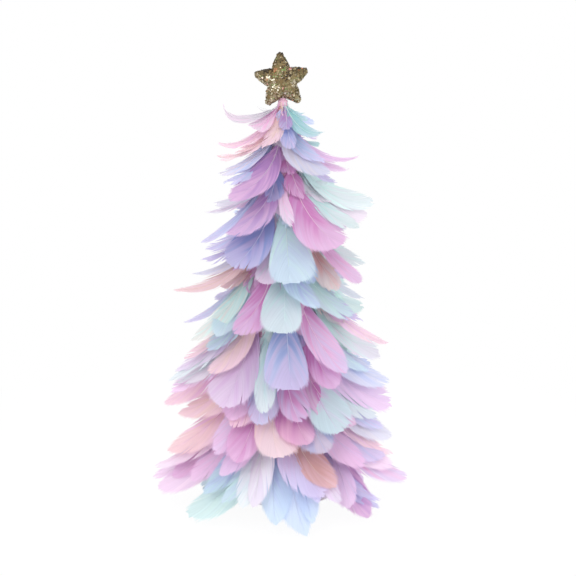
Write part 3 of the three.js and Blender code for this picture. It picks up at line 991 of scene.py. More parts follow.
@dataclass
class GlitterStar:
    """The puffed star: a foil skin with a ridge along each arm, crusted with glitter flakes."""

    node: str = "glitter_star"
    arms: int = 5
    tip_radius: float = 24.0 * MM
    valley_radius: float = 13.1 * MM
    tip_round: float = 3.0 * MM
    thickness: float = 13.0 * MM
    rim: float = 1.6 * MM
    roll_degrees: float = 4.0
    flank_steps: int = 10
    round_steps: int = 8
    ring_shares: tuple[float, ...] = (1.0, 0.985, 0.95, 0.9, 0.84, 0.76, 0.67, 0.57, 0.46, 0.34, 0.22, 0.1)
    bore_radius: float = 1.85 * MM
    bore_top: float = 0.6 * MM
    bore_segments: int = 40
    flakes: int = 2600
    smallest_flake: float = 0.45 * MM
    largest_flake: float = 1.3 * MM
    flake_power: float = 1.6
    flake_lift_mm: float = 0.22
    tilt: float = 0.24
    seed: int = 41
    flank_bow: float = 0.5 * MM
    # Painted light and shade on the flakes: lighter where the skin faces this side and towards the lower
    # arms, up to a cap, and the share of each pick that it sets.
    painted_light_side: Triple = (-0.45, 0.0, -0.7)
    painted_low_light: float = 0.2
    brightest_painted_light: float = 0.86
    painted_light_share: float = 0.7
    stray_share: float = 0.3
    # The share of random flakes in the flash colours that keep that painted glint.
    stray_painted_glints: float = 0.4

    def outline(self) -> Array:
        """The star's outline on its own plane, with round tips, before it is rolled.

        Returns:
            The points, anticlockwise as the viewer sees them.
        """

        def flank(start: Array, end: Array, bow: Array) -> list[Array]:
            """Points along a slightly bowed flank, without its end."""
            shares = [step / self.flank_steps for step in range(self.flank_steps)]
            return [start + (end - start) * share + bow * math.sin(math.pi * share) for share in shares]

        points = []
        arm_step = 2.0 * math.pi / self.arms
        for arm in range(self.arms):
            turn = math.pi / 2 + arm * arm_step
            along = ray(turn)
            across = np.array([-along[1], along[0]])
            valley = self.valley_radius * ray(turn - arm_step / 2)
            beyond = self.valley_radius * ray(turn + arm_step / 2)
            middle = along * (self.tip_radius - self.tip_round)
            points += flank(valley, middle - across * self.tip_round, across * -self.flank_bow)
            for step in range(self.round_steps + 1):
                angle = -math.pi / 2 + math.pi * step / self.round_steps
                way = along * math.cos(angle) + across * math.sin(angle)
                points.append(middle + self.tip_round * way)
            points += flank(middle + across * self.tip_round, beyond, across * self.flank_bow)[1:]
        return np.array(points)

    def swell(self, share: float) -> float:
        """How far a face stands proud of the rim at a share of the way out from the middle."""
        return (self.thickness - self.rim) / 2.0 * (1.0 - share**2.1) ** 0.62

    def place(self, flat: Array, out: Array | float, middle: float) -> Array:
        """Roll points of the star's own plane and set them in the tree's frame.

        Args:
            flat: The points on the plane.
            out: How far in front of the plane they are.
            middle: The height of the star's middle.

        Returns:
            The places in the tree's frame.
        """
        roll = math.radians(self.roll_degrees)
        cosine, sine = math.cos(roll), math.sin(roll)
        x = flat[..., 0] * cosine - flat[..., 1] * sine - self.valley_radius * sine
        z = flat[..., 0] * sine + flat[..., 1] * cosine + middle
        return np.stack([x, np.broadcast_to(-np.asarray(out), x.shape), z], axis=-1)

    def middle_height(self) -> float:
        """The height of the star's middle, from its solid's top.

        Returns:
            The height.
        """
        roll = math.radians(self.roll_degrees)
        corner = (self.tip_radius - self.tip_round) * math.cos(roll) + self.tip_round * math.sin(roll)
        solid_tip = max(self.tip_radius * math.cos(roll), corner)
        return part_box(self.node)[1].z - solid_tip

    def build(self, skin_finish: Material, flake_finish: Material) -> None:
        """Make the skin with its hole, then the flakes on it."""
        middle = self.middle_height()
        outline = self.outline()
        rings = []
        for side, shares in ((1.0, reversed(self.ring_shares)), (-1.0, self.ring_shares)):
            for share in shares:
                out = side * (self.rim / 2.0 + self.swell(share))
                rings.append(self.place(outline * share, out, middle)[::-1])
        poles = [self.place(np.zeros(2), side * self.thickness / 2.0, middle) for side in (1.0, -1.0)]
        skin = ringed("star_foil", rings, skin_finish, tuple(tuple(pole) for pole in poles))
        self._bore(skin, middle)
        settle(skin, Body.STAR, "glitter", self.node)
        settle(self._flakes(rings, middle, flake_finish), Body.STAR, "glitter", self.node)

    def _bore(self, skin: Piece, middle: float) -> None:
        """Cut the blind hole for the stick, up through the valley between the lower arms."""
        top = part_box("star_stick")[1].z + self.bore_top
        foot = middle - self.tip_radius
        rings = turned_rings([(self.bore_radius, foot), (self.bore_radius, top)], self.bore_segments)
        cutter = ringed("bore_cutter", rings, skin.data.materials[0], (on_axis(foot), on_axis(top)))
        cut = skin.modifiers.new("bore", "BOOLEAN")
        cut.operation = "DIFFERENCE"
        cut.object = cutter
        cut.solver = "EXACT"
        evaluated = skin.evaluated_get(bpy.context.evaluated_depsgraph_get())
        mesh = bpy.data.meshes.new_from_object(evaluated)
        skin.modifiers.clear()
        skin.data = mesh
        bpy.data.objects.remove(cutter)

    def _flakes(self, rings: list[Array], middle: float, finish: Material) -> Piece:
        """Scatter flakes over the skin, each turned and tilted its own way.

        Args:
            rings: The skin's rings.
            middle: The height of the star's middle.
            finish: The flakes' material.

        Returns:
            The piece with all the flakes.
        """
        grid = np.stack(rings)
        grid = np.concatenate([grid, grid[:, :1]], axis=1)
        first, right, up = grid[:-1, :-1], grid[:-1, 1:], grid[1:, :-1]
        normal = np.cross(right - first, up - first)
        area = np.linalg.norm(normal, axis=-1)
        chance = np.cumsum(area.ravel())
        rng = np.random.default_rng(self.seed)
        skin = Skin()
        cells = math.ceil(math.sqrt(self.flakes))
        corners = np.array([[0.0, 1.0, 2.0], [5.0, 4.0, 3.0]]) * math.pi / 3.0
        for flake in range(self.flakes):
            spot = min(int(np.searchsorted(chance, rng.random() * chance[-1])), area.size - 1)
            row, column = divmod(spot, area.shape[1])
            across, along = rng.random(2)
            point = first[row, column] + (right - first)[row, column] * across
            point = point + (up - first)[row, column] * along
            level = normal[row, column] / max(area[row, column], 1e-12)
            facing = level + rng.normal(0.0, self.tilt, 3)
            facing /= np.linalg.norm(facing)
            side = np.cross(facing, rng.normal(0.0, 1.0, 3))
            side /= np.linalg.norm(side)
            other = np.cross(facing, side)
            radius = mix(self.smallest_flake, self.largest_flake, rng.random() ** self.flake_power)
            lifted = point + level * self.flake_lift_mm * MM
            pick = self._pick(level, point, middle, rng)
            shape = np.cos(corners)[..., None] * side + np.sin(corners)[..., None] * other
            cell = np.array([flake % cells, flake // cells])
            spots = (cell + 0.5 + 0.4 * np.stack([np.cos(corners), np.sin(corners)], axis=-1)) / cells
            skin.grid(lifted + radius * shape, {"pick": pick}, spots)
        return skin.piece("star_glitter_flakes", finish, smooth=False)

    def _pick(self, level: Array, point: Array, middle: float, rng: np.random.Generator) -> float:
        """Choose a flake's place on the colour ramp, by painted light from one side and by the painted
        glints and shade spots.

        Args:
            level: The way the skin faces there.
            point: The place on the skin.
            middle: The height of the star's middle.
            rng: The flakes' random numbers.

        Returns:
            The pick.
        """
        # Painted light: flakes facing one side, and those lower down, take a paler place on the ramp.
        painted_light = 0.5 + float(level @ np.array(self.painted_light_side))
        painted_light += self.painted_low_light * float(middle - point[2]) / self.tip_radius
        painted_light = held(painted_light, 0.0, self.brightest_painted_light)
        stray = rng.random() <= self.stray_share
        chance = rng.random()
        pick = chance if stray else mix(chance, painted_light, self.painted_light_share)
        # A few random flakes keep a painted glint colour.
        if pick >= ORANGE and rng.random() >= self.stray_painted_glints:
            pick -= 0.5
        # Painted glints and painted shade spots take over the pick.
        for painted_spot in PAINTED_GLINTS_AND_SHADES:
            across, up = point[0] - painted_spot.across_mm * MM, point[2] - middle - painted_spot.up_mm * MM
            away = math.hypot(across, up) / (painted_spot.radius_mm * MM)
            if point[1] < 0.0 and away < 1.0 and rng.random() < painted_spot.share * (1.3 - away):
                pick = painted_spot.pick
        return pick




@dataclass(frozen=True)
class Carrier:
    """The cone and the neck, whose sides the feathers are seated on."""

    cone_foot: float
    cone_top: float
    foot_radius: float
    neck_foot: float
    neck_top: float
    top_radius: float = 5.8 * MM
    neck_foot_radius: float = 5.0 * MM
    neck_top_radius: float = 3.0 * MM
    seat_gap: float = 0.3 * MM
    tape_width: float = 5.0 * MM
    tape_thickness: float = 0.8 * MM

    @classmethod
    def from_frame(cls) -> Carrier:
        """Read the cone's and the neck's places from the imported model."""
        low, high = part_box("foam_cone")
        neck_low, neck_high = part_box("wrapped_neck")
        return cls(low.z, high.z, high.x, neck_low.z, neck_high.z)

    def radius_at(self, height: float) -> float:
        """The carrier's radius at a height."""
        if height > self.cone_top:
            share = (height - self.neck_foot) / (self.neck_top - self.neck_foot)
            return mix(self.neck_foot_radius, self.neck_top_radius, share)
        share = (height - self.cone_foot) / (self.cone_top - self.cone_foot)
        return mix(self.foot_radius, self.top_radius, share)

    def seat_at(self, height: float) -> float:
        """The distance from the axis at which a quill leaves its tape."""
        return self.radius_at(height) + self.seat_gap + self.tape_thickness / 2.0


@dataclass(frozen=True)
class Row:
    """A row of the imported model: its node, the height of its tape and its number from the foot."""

    node: str
    height: float
    serial: int

    SEGMENTS = 96
    WRINKLE = 0.12 * MM
    EDGE = 0.2 * MM
    # How far out the tape's foot, edge, shoulder and middle lie, as shares of half its thickness.
    SWELL = (0.0, 1.0, 1.3, 1.4)

    def tape(self, carrier: Carrier, finish: Material) -> None:
        """Make the ring of tape that holds this row's quills.

        Args:
            carrier: What the tape is wound round.
            finish: The tape's material.
        """
        half = carrier.tape_width / 2.0
        rises = (-half, -half, -half + self.EDGE, 0.0, half - self.EDGE, half, half)
        profile = []
        for rise, share in zip(rises, (*self.SWELL, *self.SWELL[2::-1])):
            height = self.height + rise
            out = carrier.radius_at(height) + carrier.seat_gap + share * 0.5 * carrier.tape_thickness
            profile.append((out, height))

        def wrinkled(turn: float, height: float) -> float:
            """The tape's small wrinkles, which wind round it."""
            return self.WRINKLE * (0.6 + 0.4 * math.sin(turn * 23.0 + height * 900.0 + self.serial))

        rings = turned_rings(profile, self.SEGMENTS, wrinkled)
        settle(ringed(f"{self.node}_tape", rings, finish), Body.TREE, "neck_wrap", self.node)


@dataclass(frozen=True)
class Dressing:
    """What the parts of one feather share. The strip is its left edge and width on the flat pattern."""

    skin: Skin
    frame: Frame
    rng: random.Random
    blush: Blush
    pick: float
    strip: Pair

    def spot(self, share: Array) -> Array:
        """How far across the pattern a share of the feather's strip is."""
        return self.strip[0] + self.strip[1] * share


@dataclass(frozen=True)
class Lock:
    """Barbs of a vane that cling together. Past the parting they draw in and are lifted."""

    first: int
    last: int
    parting: float
    draw: float
    lift: float
    reach: float

    def opened(self, step: Array) -> Array:
        """How far past the parting each step along the barbs is, from 0 to 1."""
        return np.clip((step - self.parting) / (1.0 - self.parting), 0.0, 1.0)


@dataclass
class Feather:
    """One feather: where it is seated, how it bends, and how its vanes are cut and dyed."""

    turn: float
    height: float
    seat_radius: float
    length: float
    width: float
    root_pitch: float
    tip_pitch: float
    tint: Tint
    bend: float = 0.0
    flick: float = 0.0
    roll: float = 0.0
    cup: float = -0.05
    tatter: float = 0.3
    point: float = 0.5
    blush: Tint | None = None
    blush_strength: float = 0.0
    rich: float = 0.5
    serial: int = 0

    SHAFT_STEPS = 28
    FLICK_POWER = 3.5
    ROOT_ROLL = 0.25
    # The shaft's tube.
    QUILL_WIDTH = 1.7 * MM
    SHAFT_RUN = (-0.05, 0.93, 15)
    SHAFT_CORNERS = 5
    FLATNESS = 0.7
    SHAFT_MASK = 0.75
    # How the vane's outline rises and falls, blunt and pointed.
    RISE_POWERS = (0.85, 1.05)
    FALL_POWERS = (0.24, 0.95)
    # How the barbs sweep towards the tip and bend on the way.
    BARBS = 64
    BARB_STEPS = 5
    CROWDING = 1.35
    BARE_SHARE = 0.06
    SWEEP_SHARE = 0.46
    ROOT_LAG = 0.1
    LOWEST_ROOT = 0.22
    BEND_ALONG = 0.34
    BEND_ACROSS = 0.62
    NARROWER_SIDE = 0.16
    WAVES = 9.0
    WAVE_MM = 0.35
    # Each pair is a vane's value when whole, and what a fully tattered one adds to it.
    TORN_CHANCE = (0.04, 0.6)
    PARTS_FROM = (0.62, -0.3)
    DRAWS_IN = (0.35, 0.35)
    LIFTS = (0.25, 1.0)
    LOCK_SIZES = (3, 4, 6, 8, 10, 14)
    # The fringe, where each barb ends in a point.
    FRINGE_SHARE = 0.1
    FRINGE_ENDS = (-0.05, 0.03)
    PINCH = 0.12
    # The down at the foot of the vanes.
    DOWN_STRANDS = 12
    STRAND_STEPS = 5
    STRAND_WIDTH = 0.4 * MM
    # The feather's own random numbers, and how far they move its dye.
    SEED_STEP = 7919
    SEED_START = 13
    PICK_SPREAD = 0.12

    def shaft(self) -> Frame:
        """The shaft's line and its axes.

        Returns:
            The points along the shaft, its direction, its side and its upper face's direction.
        """
        share = np.linspace(0.0, 1.0, self.SHAFT_STEPS)
        lean = self.root_pitch + (self.tip_pitch - self.root_pitch) * share
        pitch = np.radians(lean - self.flick * share**self.FLICK_POWER)
        step = self.length / (self.SHAFT_STEPS - 1)
        middle = (pitch[1:] + pitch[:-1]) / 2.0
        out = np.concatenate([[0.0], np.cumsum(np.cos(middle))]) * step
        drop = np.concatenate([[0.0], np.cumsum(np.sin(middle))]) * step
        radius = self.seat_radius + out
        turn = self.turn + self.bend * self.length * share**2 / radius
        sine, cosine = np.sin(turn), np.cos(turn)
        points = np.stack([radius * sine, -radius * cosine, self.height - drop], axis=-1)
        along = np.gradient(points, axis=0)
        along /= np.linalg.norm(along, axis=1, keepdims=True)
        side = np.stack([cosine, sine, np.zeros_like(turn)], axis=-1)
        side -= along * np.sum(side * along, axis=1, keepdims=True)
        side /= np.linalg.norm(side, axis=1, keepdims=True)
        upper = np.cross(along, side)
        roll = np.radians(self.roll) * (self.ROOT_ROLL + (1.0 - self.ROOT_ROLL) * share)[:, None]
        rolled_side = side * np.cos(roll) + upper * np.sin(roll)
        rolled_upper = upper * np.cos(roll) - side * np.sin(roll)
        return points, along, rolled_side, rolled_upper

    def tip(self) -> Vector:
        """The place of the feather's very tip."""
        return Vector(self.shaft()[0][-1])

    def outline(self, share: Array) -> Array:
        """Half the vane's width along the feather.

        Args:
            share: Shares of the vane's length.

        Returns:
            The half width at each, as a share of the widest.
        """
        rise, fall = mix(*self.RISE_POWERS, self.point), mix(*self.FALL_POWERS, self.point)
        widest = rise / (rise + fall)
        return (share / widest) ** rise * ((1.0 - share) / (1.0 - widest)) ** fall

    def tattered(self, pair: Pair) -> float:
        """A vane's value at this feather's tatter."""
        return pair[0] + pair[1] * self.tatter

    def locks(self, rng: random.Random) -> list[Lock]:
        """Part the barbs of one vane into locks that cling together.

        Args:
            rng: The feather's own random numbers.

        Returns:
            The locks, from the foot to the tip.
        """
        made = []
        start = 0
        while start < self.BARBS - 1:
            end = min(self.BARBS - 1, start + rng.choice(self.LOCK_SIZES))
            torn = rng.random() < self.tattered(self.TORN_CHANCE)
            parting = rng.uniform(self.tattered(self.PARTS_FROM), 0.88)
            draw = rng.uniform(0.15, self.tattered(self.DRAWS_IN)) if torn else 0.0
            lift = rng.gauss(0.0, 1.0) * self.tattered(self.LIFTS) * MM
            reach = 1.0 + rng.uniform(-0.08, 0.02) * (2.0 * self.tatter if torn else 0.12)
            made.append(Lock(start, end, parting, draw, lift, reach))
            start = end
        return made

    def add_to(self, skin: Skin, strip: Pair) -> None:
        """Add this feather's vanes, shaft and down to a mesh.

        Args:
            skin: The mesh to add to.
            strip: The left edge and width of this feather's strip on the flat pattern.
        """
        rng = random.Random(self.serial * self.SEED_STEP + self.SEED_START)
        blush = (*linear(*DYES[self.blush].body), self.blush_strength) if self.blush else NO_BLUSH
        pick = held(1.0 - self.rich + rng.uniform(-self.PICK_SPREAD, self.PICK_SPREAD), 0.0, 1.0)
        kit = Dressing(skin, self.shaft(), rng, blush, pick, strip)
        for side in (-1.0, 1.0):
            self._add_vane(kit, side)
        self._add_rachis(kit)
        self._add_down(kit)

    def _on_frame(self, frame: Frame, along: Array, across: Array, rise: Array) -> Array:
        """Carry flat feather coordinates onto the bent shaft.

        Args:
            frame: The shaft's points and axes.
            along: Shares of the length.
            across: Distances to the side.
            rise: Distances above the shaft's line.

        Returns:
            The places in the tree's frame.
        """
        points, direction, side, upper = frame
        place = np.clip(along, 0.0, 1.0) * (self.SHAFT_STEPS - 1)
        low = np.clip(np.floor(place).astype(int), 0, self.SHAFT_STEPS - 2)
        part = (place - low)[..., None]

        def at(rows: Array) -> Array:
            """Values of the shaft between its steps."""
            return rows[low] * (1.0 - part) + rows[low + 1] * part

        beyond = (np.maximum(along - 1.0, 0.0) * self.length)[..., None]
        spread = at(side) * across[..., None] + at(upper) * rise[..., None]
        return at(points) + spread + at(direction) * beyond

    def _barb_paths(self, row: Array, reach: Array) -> tuple[Array, Array]:
        """Flat coordinates of points on barbs.

        Args:
            row: Which barb, as a share from the lowest to the highest.
            reach: How far along the barb, from the shaft to the edge.

        Returns:
            The share of the feather's length and the share of the vane's width.
        """
        share = 1.0 - (1.0 - row) ** self.CROWDING
        wide = self.outline(share)
        root = share - self.SWEEP_SHARE * wide - self.ROOT_LAG * share
        root = np.maximum(root, self.LOWEST_ROOT * share**2)
        bend_at = root + self.BEND_ALONG * (share - root)
        near, far = (1.0 - reach) ** 2, reach**2
        curve = 2.0 * reach * (1.0 - reach)
        along = near * root + curve * bend_at + far * share
        across = curve * self.BEND_ACROSS * wide + far * wide
        return self.BARE_SHARE + along * (1.0 - self.BARE_SHARE), across

    def _add_vane(self, kit: Dressing, side: float) -> None:
        """Add one vane, lock by lock."""
        lean = 1.0 + self.NARROWER_SIDE * side * (1.0 if self.serial % 2 else -1.0)
        half = self.width / 2.0 * lean
        steps = np.linspace(0.0, 1.0, self.BARB_STEPS + 1)
        for lock in self.locks(kit.rng):
            rows = np.arange(lock.first, lock.last + 1) / (self.BARBS - 1)
            middle = (rows[0] + rows[-1]) / 2.0
            row, step = np.meshgrid(rows, steps, indexing="ij")
            drawn = middle + (row - middle) * (1.0 - lock.draw * lock.opened(step) ** 1.2)

            def laid(row: Array, drawn: Array, step: Array, rest: Array) -> tuple:
                """Points, values and pattern places of a stretch of barbs."""
                along, across = self._barb_paths(drawn, rest)
                wave = np.sin(along * self.WAVES + self.serial) * self.WAVE_MM * MM * across
                rise = self.cup * self.width * across**2 + wave
                rise = rise + lock.lift * lock.opened(step) ** 1.5
                points = self._on_frame(kit.frame, along, side * half * across, rise)
                tall = 0.02 + 0.96 * row
                places = np.stack([kit.spot(0.22 + side * 0.2 * step), tall], axis=-1)
                values = {
                    "shaft_share": along,
                    "edge_share": across,
                    "barb_row": row * self.BARBS + 50.0 * kit.pick + 3.0 * side,
                    "pick": kit.pick,
                }
                if side > 0.0:
                    points, places = points[:, ::-1], places[:, ::-1]
                    values = {k: v[:, ::-1] if isinstance(v, Array) else v for k, v in values.items()}
                return points, values, places

            reached = (1.0 - self.FRINGE_SHARE) * lock.reach
            kit.skin.grid(*laid(row, drawn, step, step * reached), kit.blush)
            self._add_fringe(kit, laid, rows, lock, reached)

    def _add_fringe(
        self, kit: Dressing, laid: Callable[..., tuple], rows: Array, lock: Lock, root: float
    ) -> None:
        """Add the fringe at a lock's edge, where each barb ends in a fine point of its own length.

        Args:
            kit: What the feather's parts share.
            laid: Lays barbs on the feather.
            rows: The lock's barbs.
            lock: The lock.
            root: How far along the barbs the fringe starts.
        """
        middle = (rows[0] + rows[-1]) / 2.0
        low, high = rows[:-1], rows[1:]
        centre = (low + high) / 2.0
        half = (high - low) / 2.0
        row = np.stack([low, centre - half * self.PINCH, centre + half * self.PINCH, high], axis=-1)
        ends = lock.reach * np.array([1.0 + kit.rng.uniform(*self.FRINGE_ENDS) for _ in low])
        rest = np.stack([np.full_like(low, root), ends, ends, np.full_like(low, root)], axis=-1)
        drawn = middle + (row - middle) * (1.0 - lock.draw)
        kit.skin.slips(*laid(row, drawn, np.ones_like(rest), rest), kit.blush)

    def _add_rachis(self, kit: Dressing) -> None:
        """Add the tapering shaft, as a slim tube that reaches back under the tape."""
        start = self.SHAFT_RUN[0]
        along = np.linspace(*self.SHAFT_RUN)[:, None]
        corner = np.linspace(0.0, 2.0 * math.pi, self.SHAFT_CORNERS + 1)[None, :-1]
        thinned = 1.0 - 0.88 * np.clip(along, 0.0, 1.0) ** 0.7
        thick = self.QUILL_WIDTH / 2.0 * thinned
        across = thick * np.cos(corner)
        rise = thick * self.FLATNESS * np.sin(corner)
        flat = np.broadcast_to(along, across.shape)
        points = self._on_frame(kit.frame, np.maximum(flat, 0.0), across, rise)
        stub = np.minimum(flat, 0.0)[..., None] * self.length
        points = points + kit.frame[1][0] * stub
        spot = kit.spot(0.5 + 0.05 * corner / (2.0 * math.pi))
        tall = 0.02 + 0.9 * np.clip(flat - start, 0.0, 1.0)
        places = np.stack([np.broadcast_to(spot, across.shape), tall], axis=-1)
        values = {"shaft_share": flat, "rachis_mask": self.SHAFT_MASK, "pick": kit.pick}
        kit.skin.grid(points, values, places, kit.blush, wraps=True)

    def _add_down(self, kit: Dressing) -> None:
        """Add the fluffy strands at the foot of the vanes."""
        rng = kit.rng
        step = np.linspace(0.0, 1.0, self.STRAND_STEPS)
        for strand in range(self.DOWN_STRANDS):
            side = -1.0 if strand % 2 else 1.0
            start = self.BARE_SHARE * 0.5 + 0.22 * rng.random()
            long = rng.uniform(0.09, 0.2)
            spread = rng.uniform(0.4, 1.0)
            curl = rng.uniform(-0.5, 0.9)
            across = side * self.length * long * spread * step * (1.0 - 0.25 * step)
            along = start + long * (0.5 * step + 0.5 * curl * step**2)
            rise = rng.uniform(-0.4, 1.0) * self.length * long * 0.5 * step**1.5
            half = self.STRAND_WIDTH / 2.0 * (1.0 - 0.85 * step)
            flat = np.stack([along - half / self.length, along + half / self.length], axis=-1)
            wide = np.broadcast_to(across[:, None], flat.shape)
            points = self._on_frame(kit.frame, flat, wide, np.broadcast_to(rise[:, None], flat.shape))
            spot = kit.spot(0.6 + 0.03 * strand + 0.02 * np.array([[0.0, 1.0]]))
            tall = np.broadcast_to(0.02 + 0.9 * step[:, None], flat.shape)
            places = np.stack([np.broadcast_to(spot, flat.shape), tall], axis=-1)
            barb = 3.0 * strand
            values = {"shaft_share": flat * 0.5, "edge_share": 0.4, "barb_row": barb, "pick": kit.pick}
            kit.skin.grid(points, values, places, kit.blush)


@dataclass(frozen=True)
class Plume:
    """A feather that the photograph shows: the pixel of its tip, a pixel that its shaft passes
    through higher up, and how it differs from its row.

    Long and wide are shares of the row's usual feather. Point, tatter and rich, which is how deeply
    it took its dye, go from 0 to 1. Flick, how far the tip curls up, roll and lift are in degrees.
    """

    x_px: float
    y_px: float
    tint: Tint
    via_px: Pair
    long: float
    wide: float
    point: float
    tatter: float
    rich: float
    blush: Tint | None = None
    strength: float = 0.5
    flick: float = 0.0
    roll: float = 0.0
    lift: float = 0.0

    def apart(self, spot: Vector) -> float:
        """How far a pixel is from the seen part of the shaft."""
        start, end = Vector(self.via_px), Vector((self.x_px, self.y_px))
        run = end - start
        share = held((spot - start).dot(run) / run.length_squared, 0.0, 1.0)
        return (start + share * run - spot).length


P, L, B, M, A, W = Tint.PINK, Tint.LILAC, Tint.BLUE, Tint.MINT, Tint.PEACH, Tint.WHITE

